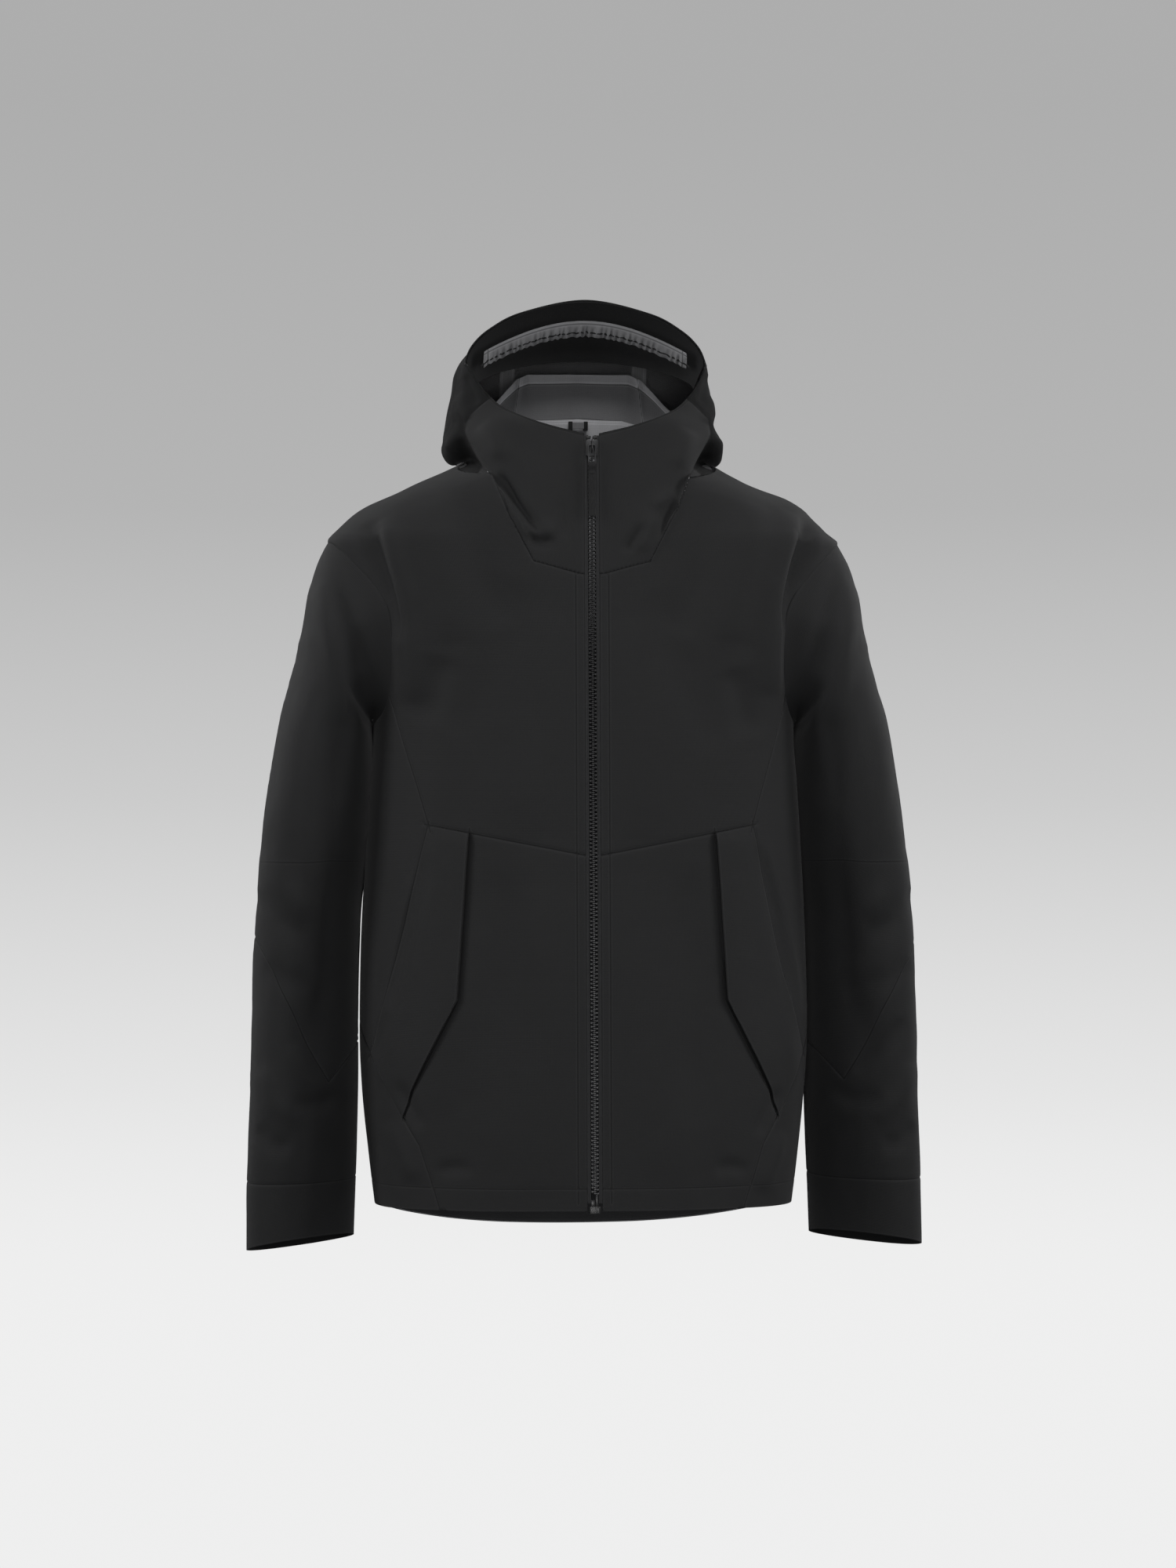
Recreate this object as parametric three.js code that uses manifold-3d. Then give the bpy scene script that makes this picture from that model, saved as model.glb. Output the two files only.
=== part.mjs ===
// Hooded hardshell jacket. Millimetres, +Z up, front towards -Y, the wearer's left towards +X.
// The origin is the centre of the neck opening, at the height of the back neck seam.
// Every fabric panel is a thin closed shell cut from one of three lofted skins:
// the torso with its stand-up collar, the sleeves and the hood.
import * as THREE from 'three';
import { mergeVertices } from 'three/addons/utils/BufferGeometryUtils.js';
import Module from 'manifold-3d';

const wasm = await Module();
wasm.setup();

// ---------------------------------------------------------------- driving dimensions
const FABRIC = 1.6;               // panel thickness, with its seam allowance and tape
const SEAM_GAP = 0.6;             // clear gap left along each seam
const FAR = 420;                  // well past the jacket in every direction

const ZIP_TOP_Z = -28;            // top of the front zip and of the collar
const ZIP_BOTTOM_Z = -706;
const ZIP_TOP_DEPTH = 98;         // how far forward of the origin the zip's top is
const ZIP_LEAN = Math.atan(0.0594);
const ZIP_OPENING = 13;           // fabric edge to fabric edge
const ZIP_LENGTH = (ZIP_TOP_Z - ZIP_BOTTOM_Z) / Math.cos(ZIP_LEAN);

const TORSO_COLUMNS = 36;
const TORSO_SQUARENESS = 2.4;     // superellipse exponent of each section
const SIDE_SEAM_Y = 45;           // the side panel wraps this far to the back
const SHOULDER_SEAM_Y = 8;

const SLEEVE_COLUMNS = 16;
const ELBOW_Z = -452;
const ELBOW_GAP = 1.2;
const CUFF_STITCH_Z = -689;

const FLAP_LIFT = 6.5;            // inside of the pocket flap, above the front panel
const BAG_DEPTH = 14;
const BAG_WALL = 1.2;

// Torso sections from the hem up: half width, back depth, height at the front, side and back.
const TORSO_SECTIONS = [
  [188, 130, -707, -712, -748],
  [193, 131, -665, -668, -688],
  [199.5, 131.5, -605, -605, -605],
  [202, 132, -550, -550, -550],
  [201, 133, -480, -480, -480],
  [198, 134, -410, -410, -410],
  [194, 134, -345, -345, -345],
  [190, 133, -290, -290, -290],
  [195, 131, -245, -245, -245],
  [204, 128, -205, -205, -205],
  [215, 123, -168, -168, -168],
  [226, 117, -138, -138, -138],
  [231, 112, -119, -119, -119],
  [222, 110, -109, -109, -109],
  [198, 104, -88, -88, -88],
  [160, 97, -70, -70, -67],
  [128, 90, -60, -56, -42],
  [104, 80, -52, -42, -14],
  [97, 73, -45, -30, 0],
  [99, 69, -38, -10, 22],
  [103, 65, -28, 8, 41.5],
];

// Sleeve sections from the armhole down: outer x, z, inner x, z, half depth, centre y, front lift.
const SLEEVE_SECTIONS = [
  [243, -150, 194, -288, 73, -2, 0],
  [253, -195, 197, -303, 75, -2, 0],
  [263, -245, 199, -330, 75, -2, 0],
  [274, -305, 201, -368, 73, -3, 0],
  [285, -368, 204, -408, 70, -4, 0],
  [293, -430, 206, -446, 66, -5, 0],
  [296, -480, 207, -484, 63, -7, 0],
  [298, -540, 207, -541, 60, -9, 0],
  [300, -605, 204, -605, 56, -11, 0],
  [301.5, -660, 204, -660, 51, -13, 2],
  [302.3, -702, 205.5, -699, 47, -14, 5],
  [302.7, -750, 207, -742, 44, -15, 8],
];

// Armhole seam as seen from the front, from the shoulder tip down to the armpit: x, z.
const ARMHOLE = [
  [230.5, -118.7], [213, -136], [200, -150], [186, -168], [178, -188],
  [175.5, -220], [177, -250], [182, -270], [190, -281],
];

// Hood: its middle line from the nape seam over the top to the brim (y, z), and its front edge
// from the shoulder up to the brim's corner (x, y, z).
const HOOD_MIDDLE = [
  [88, -6], [106, -18], [126, -16], [140, 6], [140, 36], [125, 66],
  [95, 88], [60, 93], [25, 89], [-5, 90], [-30, 98],
];
const HOOD_EDGE = [
  [117, -22, -50], [125, -22, -34], [121, -20, -12], [112, -22, 15], [108.5, -28, 42],
];
const HOOD_ROWS = 11;
const HOOD_COLUMNS = 18;
const HOOD_SEAM_X = 57;

const BLACK_FABRIC = { color: 0x1b1c1e, roughness: 0.82, metalness: 0 };
const GREY_BACKER = { color: 0x6d7074, roughness: 0.75, metalness: 0 };
const TAPE = { color: 0x37383b, roughness: 0.8, metalness: 0 };
const MOULDED_TEETH = { color: 0x232426, roughness: 0.45, metalness: 0 };
const DARK_METAL = { color: 0x3c3f43, roughness: 0.35, metalness: 0.9 };
const WEBBING = { color: 0x1f2023, roughness: 0.7, metalness: 0 };

const jacket = new THREE.Group();

// ---------------------------------------------------------------- small tools
const lerp = THREE.MathUtils.lerp;
const vector = (x, y, z) => new THREE.Vector3(x, y, z);
const signedPower = (value, exponent) => Math.sign(value) * Math.abs(value) ** exponent;

function solidFromMesh(points, triangles) {
  const vertProperties = new Float32Array(points.flatMap((p) => [p.x, p.y, p.z]));
  let volume = 0;
  for (const [a, b, c] of triangles) {
    volume += points[a].dot(points[b].clone().cross(points[c]));
  }
  const order = volume < 0 ? triangles.map(([a, b, c]) => [a, c, b]) : triangles;
  const triVerts = new Uint32Array(order.flat());
  return new wasm.Manifold(new wasm.Mesh({ numProp: 3, vertProperties, triVerts }));
}

function solidFromGeometry(source) {
  const bare = source.clone();
  bare.deleteAttribute('normal');
  bare.deleteAttribute('uv');
  const merged = mergeVertices(bare, 1e-4);
  const place = merged.getAttribute('position');
  const index = merged.getIndex().array;
  const points = Array.from({ length: place.count }, (_, i) => vector().fromBufferAttribute(place, i));
  const triangles = [];
  for (let i = 0; i < index.length; i += 3) {
    triangles.push([index[i], index[i + 1], index[i + 2]]);
  }
  return solidFromMesh(points, triangles);
}

function geometryFromSolid(solid) {
  const mesh = solid.getMesh();
  const geometry = new THREE.BufferGeometry();
  geometry.setAttribute('position', new THREE.BufferAttribute(mesh.vertProperties, 3));
  geometry.setIndex(new THREE.BufferAttribute(mesh.triVerts, 1));
  geometry.computeVertexNormals();
  return geometry;
}

function addPiece(name, shape, look, parent = jacket) {
  const geometry = shape.isBufferGeometry ? shape : geometryFromSolid(shape);
  const mesh = new THREE.Mesh(geometry, new THREE.MeshStandardMaterial(look));
  mesh.name = name;
  parent.add(mesh);
}

// A block between two corners.
function block(low, high) {
  const size = high.map((value, i) => value - low[i]);
  const geometry = new THREE.BoxGeometry(...size);
  return geometry.translate(...low.map((value, i) => value + size[i] / 2));
}

const blockSolid = (low, high) => solidFromGeometry(block(low, high));

// An outline in a plane, extruded along the axis across it.
// along 'y': the outline is in x and z. along 'x': the outline is in y and z.
function prism(outline, along, from, to) {
  const shape = new THREE.Shape(outline.map(([a, b]) => new THREE.Vector2(a, b)));
  const geometry = new THREE.ExtrudeGeometry(shape, { depth: to - from, bevelEnabled: false });
  if (along === 'y') {
    geometry.applyMatrix4(new THREE.Matrix4().makeBasis(vector(1, 0, 0), vector(0, 0, 1), vector(0, -1, 0)));
    geometry.translate(0, to, 0);
  } else {
    geometry.applyMatrix4(new THREE.Matrix4().makeBasis(vector(0, 1, 0), vector(0, 0, 1), vector(1, 0, 0)));
    geometry.translate(from, 0, 0);
  }
  return solidFromGeometry(geometry);
}

// A thin knife along a polyline, as wide as a seam gap, with mitred corners.
function slit(line, along, from, to, width = SEAM_GAP) {
  const points = line.map(([a, b]) => new THREE.Vector2(a, b));
  const normals = points.slice(1).map((p, i) => {
    const direction = p.clone().sub(points[i]).normalize();
    return new THREE.Vector2(-direction.y, direction.x);
  });
  const offset = (i) => {
    const before = normals[Math.max(i - 1, 0)];
    const after = normals[Math.min(i, normals.length - 1)];
    const sum = before.clone().add(after);
    return sum.multiplyScalar(width / sum.lengthSq());
  };
  const left = points.map((p, i) => p.clone().add(offset(i)));
  const right = points.map((p, i) => p.clone().sub(offset(i)));
  const outline = [...left, ...right.reverse()].map((p) => [p.x, p.y]);
  return prism(outline, along, from, to);
}

const mirrorLine = (line) => line.map(([x, z]) => [-x, z]);

// The part of a solid nearest to a point, when a solid has fallen into several.
function partNearest(parts, x, y, z) {
  const target = vector(x, y, z);
  const distance = (part) => {
    const { vertProperties } = part.getMesh();
    let nearest = Infinity;
    for (let i = 0; i < vertProperties.length; i += 3) {
      const point = vector(vertProperties[i], vertProperties[i + 1], vertProperties[i + 2]);
      nearest = Math.min(nearest, point.distanceToSquared(target));
    }
    return nearest;
  };
  return parts.reduce((best, part) => (distance(part) < distance(best) ? part : best));
}

// Outward unit normals of a grid of points. closed: each row is a loop.
function gridNormals(rows, closed, centre) {
  const columns = rows[0].length;
  const wrap = (j) => (closed ? (j + columns) % columns : Math.min(Math.max(j, 0), columns - 1));
  return rows.map((row, i) => row.map((point, j) => {
    const across = row[wrap(j + 1)].clone().sub(row[wrap(j - 1)]);
    const above = rows[Math.min(i + 1, rows.length - 1)][j];
    const below = rows[Math.max(i - 1, 0)][j];
    const normal = across.cross(above.clone().sub(below)).normalize();
    const away = point.clone().sub(centre(row));
    return normal.dot(away) < 0 ? normal.negate() : normal;
  }));
}

// A skin of even thickness between two offsets of a grid of points.
function skin(rows, closed, centre, outerOffset, innerOffset) {
  const normals = gridNormals(rows, closed, centre);
  const layer = (offset) => rows.flatMap((row, i) => (
    row.map((point, j) => point.clone().addScaledVector(normals[i][j], offset))));
  const columns = rows[0].length;
  const points = [...layer(outerOffset), ...layer(innerOffset)];
  const inside = rows.length * columns;
  const at = (i, j) => i * columns + (j % columns);
  const triangles = [];
  const quad = (a, b, c, d) => triangles.push([a, b, c], [a, c, d]);
  const lastRow = rows.length - 1;
  const spans = closed ? columns : columns - 1;
  for (let j = 0; j < spans; j += 1) {
    for (let i = 0; i < lastRow; i += 1) {
      quad(at(i, j), at(i, j + 1), at(i + 1, j + 1), at(i + 1, j));
      quad(inside + at(i, j), inside + at(i + 1, j), inside + at(i + 1, j + 1), inside + at(i, j + 1));
    }
    quad(at(0, j), inside + at(0, j), inside + at(0, j + 1), at(0, j + 1));
    quad(at(lastRow, j), at(lastRow, j + 1), inside + at(lastRow, j + 1), inside + at(lastRow, j));
  }
  if (!closed) {
    const end = columns - 1;
    for (let i = 0; i < lastRow; i += 1) {
      quad(at(i, 0), at(i + 1, 0), inside + at(i + 1, 0), inside + at(i, 0));
      quad(at(i, end), inside + at(i, end), inside + at(i + 1, end), at(i + 1, end));
    }
  }
  return solidFromMesh(points, triangles);
}

const rowCentre = (row) => row.reduce((sum, p) => sum.add(p), vector(0, 0, 0)).divideScalar(row.length);

// ---------------------------------------------------------------- torso skin
const zipDepthAt = (z) => ZIP_TOP_DEPTH + (ZIP_TOP_Z - z) * Math.tan(ZIP_LEAN);

function torsoRow([halfWidth, backDepth, frontZ, sideZ, backZ]) {
  const frontDepth = zipDepthAt(frontZ);
  const power = 2 / TORSO_SQUARENESS;
  return Array.from({ length: TORSO_COLUMNS }, (_, j) => {
    const angle = (j / TORSO_COLUMNS) * 2 * Math.PI;
    const forward = signedPower(Math.cos(angle), power);
    const depth = forward > 0 ? frontDepth : backDepth;
    const endZ = forward > 0 ? frontZ : backZ;
    const z = lerp(sideZ, endZ, Math.abs(forward) ** 1.5);
    return vector(halfWidth * signedPower(Math.sin(angle), power), -depth * forward, z);
  });
}

const torsoRows = TORSO_SECTIONS.map(torsoRow);
const torsoSkin = (outer, inner) => skin(torsoRows, true, rowCentre, outer, inner);

// How far forward (or back) of the origin the torso is at a place seen from the front.
function torsoDepthAt(x, z, back = false) {
  const above = Math.max(TORSO_SECTIONS.findIndex((section) => section[2] >= z), 1);
  const [lowWidth, lowBack, lowZ] = TORSO_SECTIONS[above - 1];
  const [highWidth, highBack, highZ] = TORSO_SECTIONS[above];
  const share = (z - lowZ) / (highZ - lowZ);
  const halfWidth = lerp(lowWidth, highWidth, share);
  const depth = back ? lerp(lowBack, highBack, share) : zipDepthAt(z);
  const across = Math.min(Math.abs(x) / halfWidth, 1);
  return depth * (1 - across ** TORSO_SQUARENESS) ** (1 / TORSO_SQUARENESS);
}

const CHEST_SEAM = [[0, -399.5], [9, -398], [146, -371.6]];
const SIDE_PANEL_SEAM = [[141.9, -377], [160, -316], [171, -275], [184, -232]];
const POCKET_SEAM = [[143, -368], [166, -466], [184, -540], [190, -562], [193, -577]];
const HEM_SIDE_SEAM = [[215, -530], [203, -552], [192.8, -577], [167, -628], [152, -653], [134.6, -708], [130, -730]];
const CHIN_SEAM = [[0, -152.5], [12, -151], [51, -140.6], [74, -96], [86, -65], [100, -50], [120, -42]];
const NAPE_SEAM = [[-125, -44], [-97, -30], [-72, -11], [-40, -3], [0, 0], [40, -3], [72, -11], [97, -30], [125, -44]];
const YOKE_SEAM = [[-215, -172], [-120, -190], [0, -196], [120, -190], [215, -172]];
const SIDE_SEAM = [[SIDE_SEAM_Y, -780], [SIDE_SEAM_Y, -240]];

function armholeCutter(side) {
  const curve = new THREE.CatmullRomCurve3(ARMHOLE.map(([x, z]) => vector(side * x, 0, z)));
  const seam = curve.getPoints(14).map((p) => [p.x, p.z]);
  const outline = [[side * FAR, -100], ...seam, [side * FAR, -281]];
  return prism(outline, 'y', -FAR, FAR);
}

function cutTorso() {
  const zipSlot = blockSolid([-ZIP_OPENING / 2, -FAR, -FAR * 2], [ZIP_OPENING / 2, -20, FAR]);
  const cuts = [zipSlot, armholeCutter(1), armholeCutter(-1)];
  for (const line of [CHEST_SEAM, SIDE_PANEL_SEAM, POCKET_SEAM, HEM_SIDE_SEAM]) {
    cuts.push(slit(line, 'y', -FAR, SIDE_SEAM_Y), slit(mirrorLine(line), 'y', -FAR, SIDE_SEAM_Y));
  }
  cuts.push(slit(CHIN_SEAM, 'y', -FAR, SHOULDER_SEAM_Y), slit(mirrorLine(CHIN_SEAM), 'y', -FAR, SHOULDER_SEAM_Y));
  cuts.push(slit(NAPE_SEAM, 'y', SHOULDER_SEAM_Y, FAR));
  cuts.push(slit(YOKE_SEAM, 'y', SHOULDER_SEAM_Y, FAR));
  cuts.push(slit(SIDE_SEAM, 'x', -FAR, FAR));
  cuts.push(slit([[SHOULDER_SEAM_Y, -160], [SHOULDER_SEAM_Y, 80]], 'x', -FAR, FAR));
  return torsoSkin(0, -FABRIC).subtract(wasm.Manifold.union(cuts)).decompose();
}

// Outlines of the pocket parts as seen from the front, on the wearer's left.
const FLAP_OUTLINE = [[108, -379.4], [142.5, -373], [182, -540], [188, -561], [166, -625], [161, -612], [118, -524.7]];
const BAG_OUTLINE = [[52, -425], [152, -425], [172, -560], [150, -604], [52, -604]];
const ZIP_SLOT_OUTLINE = [[121, -388], [130.5, -388], [139.5, -536], [130, -536]];
const POCKET_ZIP_LINE = [[125.7, -388], [134.7, -536]];

function insetOutline(outline, distance) {
  const centre = outline.reduce((sum, [x, z]) => [sum[0] + x / outline.length, sum[1] + z / outline.length], [0, 0]);
  return outline.map(([x, z]) => {
    const dx = x - centre[0];
    const dz = z - centre[1];
    return [x - Math.sign(dx) * distance, z - Math.sign(dz) * distance];
  });
}

const sided = (outline, side) => outline.map(([x, z]) => [side * x, z]);
const cutFromSkin = (outline, side, outer, inner) => (
  torsoSkin(outer, inner).intersect(prism(sided(outline, side), 'y', -FAR, 0)));

function addTorso() {
  const parts = cutTorso();
  const place = (name, x, y, z, look = BLACK_FABRIC) => addPiece(name, partNearest(parts, x, y, z), look);
  place('back_yoke', 0, 115, -120);
  place('back_panel', 0, 132, -450);
  place('inner_collar', 0, 68, 25, GREY_BACKER);
  for (const [sideName, side] of [['left', 1], ['right', -1]]) {
    const slot = prism(sided(ZIP_SLOT_OUTLINE, side), 'y', -FAR, 0);
    const lower = partNearest(parts, side * 60, -torsoDepthAt(60, -500), -500);
    addPiece(`front_lower_${sideName}`, lower.subtract(slot), BLACK_FABRIC);
    place(`front_chest_${sideName}`, side * 90, -torsoDepthAt(90, -250), -250);
    place(`side_panel_${sideName}`, side * 192, 0, -400);
    place(`hem_side_${sideName}`, side * 180, -torsoDepthAt(180, -660), -660);
    place(`chin_panel_${sideName}`, side * 40, -98, -70);
  }
}

function addPockets(sideName, side) {
  addPiece(`pocket_flap_${sideName}`, cutFromSkin(FLAP_OUTLINE, side, FLAP_LIFT + FABRIC, FLAP_LIFT), BLACK_FABRIC);
  const bagSpace = cutFromSkin(insetOutline(BAG_OUTLINE, BAG_WALL), side, -1, BAG_WALL - BAG_DEPTH);
  const bag = cutFromSkin(BAG_OUTLINE, side, -FABRIC - SEAM_GAP, -BAG_DEPTH).subtract(bagSpace);
  addPiece(`pocket_bag_${sideName}`, bag, TAPE);
  const strip = cutFromSkin(insetOutline(ZIP_SLOT_OUTLINE, 0.5), side, 0.9, -1.4);
  addPiece(`pocket_zip_${sideName}`, strip, MOULDED_TEETH);
}

// The frame of a pocket zip: its top, with local z up the zip and local -y away from the body.
function pocketZipFrame(side) {
  const [top, bottom] = POCKET_ZIP_LINE.map(([x, z]) => vector(side * x, -torsoDepthAt(x, z), z));
  const middle = top.clone().lerp(bottom, 0.5);
  const depthChange = torsoDepthAt(Math.abs(middle.x) + 4, middle.z) - torsoDepthAt(Math.abs(middle.x) - 4, middle.z);
  const up = top.clone().sub(bottom).normalize();
  const across = vector(8, -depthChange * side, 0);
  const inward = up.clone().cross(across).normalize();
  const matrix = new THREE.Matrix4().makeBasis(inward.clone().cross(up), inward, up).setPosition(top);
  const frame = new THREE.Group();
  frame.applyMatrix4(matrix);
  return frame;
}

function addPocketSlider(sideName, side) {
  const frame = pocketZipFrame(side);
  jacket.add(frame);
  const body = blockSolid([-4, -3.4, -15], [4, -1.8, -2])
    .add(blockSolid([-1.2, -5, -9], [1.2, -3.3, -7.6]))
    .add(blockSolid([-1.2, -5, -6], [1.2, -3.3, -4.6]))
    .add(blockSolid([-1.2, -5.8, -9], [1.2, -4.9, -4.6]));
  addPiece(`pocket_slider_${sideName}`, body, DARK_METAL, frame);
  const pull = blockSolid([-2.6, -5.2, -34], [2.6, -3.9, -9.4])
    .add(blockSolid([-2.6, -5.2, -9.5], [-1.6, -3.9, -6.2]))
    .add(blockSolid([1.6, -5.2, -9.5], [2.6, -3.9, -6.2]))
    .add(blockSolid([-2.6, -4.6, -7.2], [2.6, -3.9, -6.4]));
  addPiece(`pocket_pull_${sideName}`, pull, WEBBING, frame);
}

// ---------------------------------------------------------------- facings and hang loop
function addFacings() {
  const nearHem = prism([[-FAR, -676], [-60, -682], [SIDE_SEAM_Y, -698], [FAR, -740], [FAR, -800], [-FAR, -800]],
    'x', -FAR, FAR);
  const cuts = wasm.Manifold.union([
    blockSolid([-ZIP_OPENING - 4, -FAR, -FAR * 2], [ZIP_OPENING + 4, -20, FAR]),
    slit(SIDE_SEAM, 'x', -FAR, FAR),
  ]);
  const parts = torsoSkin(-FABRIC - 0.5, -FABRIC - 1.4).intersect(nearHem).subtract(cuts).decompose();
  addPiece('hem_facing_back', partNearest(parts, 0, 130, -740), TAPE);
  addPiece('hem_facing_left', partNearest(parts, 120, -120, -695), TAPE);
  addPiece('hem_facing_right', partNearest(parts, -120, -120, -695), TAPE);
  const crescent = prism([[-70, -18], [0, -4], [70, -18], [48, -40], [0, -52], [-48, -40]], 'y', 20, FAR);
  addPiece('neck_facing', torsoSkin(-FABRIC - 0.5, -FABRIC - 1.3).intersect(crescent), GREY_BACKER);
}

const LOOP_WIDTH = 22;
const LOOP_STAND_OFF = 6;
const LOOP_Y = 66.5;

// A short bar of webbing sewn down at both ends, standing off the inside of the neck.
function addHangLoop() {
  const front = LOOP_Y - LOOP_STAND_OFF;
  const loop = blockSolid([-LOOP_WIDTH / 2, front, 1], [LOOP_WIDTH / 2, front + 1.4, 7])
    .add(blockSolid([-LOOP_WIDTH / 2, front, 1], [3 - LOOP_WIDTH / 2, LOOP_Y + 3, 7]))
    .add(blockSolid([LOOP_WIDTH / 2 - 3, front, 1], [LOOP_WIDTH / 2, LOOP_Y + 3, 7]));
  addPiece('hang_loop', loop, WEBBING);
}

// ---------------------------------------------------------------- sleeves
function armholeLoop(side) {
  const line = new THREE.CatmullRomCurve3(ARMHOLE.map(([x, z]) => vector(x + 0.9, 0, z)));
  const half = SLEEVE_COLUMNS / 2;
  const seam = line.getSpacedPoints(half);
  return Array.from({ length: SLEEVE_COLUMNS }, (_, i) => {
    const onBack = i > half;
    const { x, z } = seam[onBack ? SLEEVE_COLUMNS - i : i];
    const atEnd = i % half === 0;
    const depth = atEnd ? 0 : torsoDepthAt(x, z, onBack);
    return vector(side * x, onBack ? depth : -depth, z);
  });
}

function sleeveRow([outerX, outerZ, innerX, innerZ, halfDepth, centreY, frontLift], side) {
  const centre = vector((outerX + innerX) / 2, centreY, (outerZ + innerZ) / 2);
  const out = vector((outerX - innerX) / 2, 0, (outerZ - innerZ) / 2);
  const forward = vector(0, -halfDepth, frontLift);
  return Array.from({ length: SLEEVE_COLUMNS }, (_, i) => {
    const angle = (i / SLEEVE_COLUMNS) * 2 * Math.PI;
    const p = centre.clone()
      .addScaledVector(out, signedPower(Math.cos(angle), 0.9))
      .addScaledVector(forward, signedPower(Math.sin(angle), 0.9));
    return vector(side * p.x, p.y, p.z);
  });
}

const ELBOW_SEAM = [[320, -448], [296, -472], [262, -536], [230, -600], [218, -586], [190, -556]];
const CUFF_SEAM = [[150, CUFF_STITCH_Z], [340, CUFF_STITCH_Z]];

function addSleeve(sideName, side) {
  const rows = [armholeLoop(side), ...SLEEVE_SECTIONS.map((section) => sleeveRow(section, side))];
  const cuts = wasm.Manifold.union([
    slit(sided([[150, ELBOW_Z], [340, ELBOW_Z]], side), 'y', -FAR, FAR, ELBOW_GAP),
    slit(sided(ELBOW_SEAM, side), 'y', -FAR, FAR),
    slit(sided(CUFF_SEAM, side), 'y', -FAR, FAR),
  ]);
  const parts = skin(rows, true, rowCentre, 0, -FABRIC).subtract(cuts).decompose();
  addPiece(`sleeve_upper_${sideName}`, partNearest(parts, side * 265, 0, -250), BLACK_FABRIC);
  addPiece(`forearm_panel_${sideName}`, partNearest(parts, side * 240, -66, -500), BLACK_FABRIC);
  addPiece(`forearm_under_${sideName}`, partNearest(parts, side * 301, -10, -640), BLACK_FABRIC);
  addPiece(`cuff_${sideName}`, partNearest(parts, side * 302, -10, -730), BLACK_FABRIC);
}

// ---------------------------------------------------------------- hood
function hoodRows() {
  const middle = new THREE.CatmullRomCurve3(HOOD_MIDDLE.map(([y, z]) => vector(0, y, z)));
  const edge = new THREE.CatmullRomCurve3(HOOD_EDGE.map((p) => vector(...p)));
  return Array.from({ length: HOOD_ROWS + 1 }, (_, i) => {
    const share = i / HOOD_ROWS;
    const top = middle.getPoint(share);
    const corner = edge.getPoint(share);
    const power = 2 / lerp(2.3, 1.75, share);
    return Array.from({ length: HOOD_COLUMNS + 1 }, (__, j) => {
      const angle = (j / HOOD_COLUMNS - 0.5) * Math.PI;
      const rise = signedPower(Math.cos(angle), power);
      const x = corner.x * signedPower(Math.sin(angle), power);
      return vector(x, lerp(corner.y, top.y, rise), lerp(corner.z, top.z, rise));
    });
  });
}

function addHood() {
  const rows = hoodRows();
  const hollowMiddle = () => vector(0, 20, 15);
  const cuts = wasm.Manifold.union([
    slit([[4, 130], [4, 70], [-8, 52], [-60, 34]], 'x', -FAR, FAR),
    slit([[-HOOD_SEAM_X, -80], [-HOOD_SEAM_X, 130]], 'y', 4.1, FAR),
    slit([[HOOD_SEAM_X, -80], [HOOD_SEAM_X, 130]], 'y', 4.1, FAR),
  ]);
  const parts = skin(rows, false, hollowMiddle, 0, -FABRIC).subtract(cuts).decompose();
  addPiece('hood_brim', partNearest(parts, 0, -30, 98), BLACK_FABRIC);
  addPiece('hood_centre', partNearest(parts, 0, 140, 20), BLACK_FABRIC);
  addPiece('hood_side_left', partNearest(parts, 118, 30, 0), BLACK_FABRIC);
  addPiece('hood_side_right', partNearest(parts, -118, 30, 0), BLACK_FABRIC);
}

// The gathered channel inside the brim is a flat sleeve with an elastic cord through it.
function addBrimChannel() {
  const steps = 10;
  const arch = (angle, radius) => [
    -(88 + radius) * Math.sin(angle), 40 + (34 + radius) * Math.cos(angle),
  ];
  const angles = Array.from({ length: steps + 1 }, (_, i) => (i / steps - 0.5) * Math.PI * 0.98);
  const outline = (grow) => [
    ...angles.map((angle) => arch(angle, grow)),
    ...angles.map((angle) => arch(angle, -14 - grow)).reverse(),
  ];
  const channel = prism(outline(0), 'y', -12, -7);
  const bore = prism(outline(-4), 'y', -10.8, -8.2)
    .add(prism([[-80, 30], [-70, 30], [-70, 50], [-80, 50]], 'y', -10.8, -8.2));
  addPiece('brim_channel', channel.subtract(bore), GREY_BACKER);
  const middle = angles.slice(1, -1).map((angle) => arch(angle, -7)).map(([x, z]) => vector(x, -9.5, z));
  const route = new THREE.CatmullRomCurve3(middle);
  const section = new THREE.Shape().absarc(0, 0, 1, 0, 2 * Math.PI);
  const cord = new THREE.ExtrudeGeometry(section, {
    extrudePath: route, steps: 20, curveSegments: 2, bevelEnabled: false,
  });
  addPiece('brim_cord', solidFromGeometry(cord), WEBBING);
}

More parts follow.
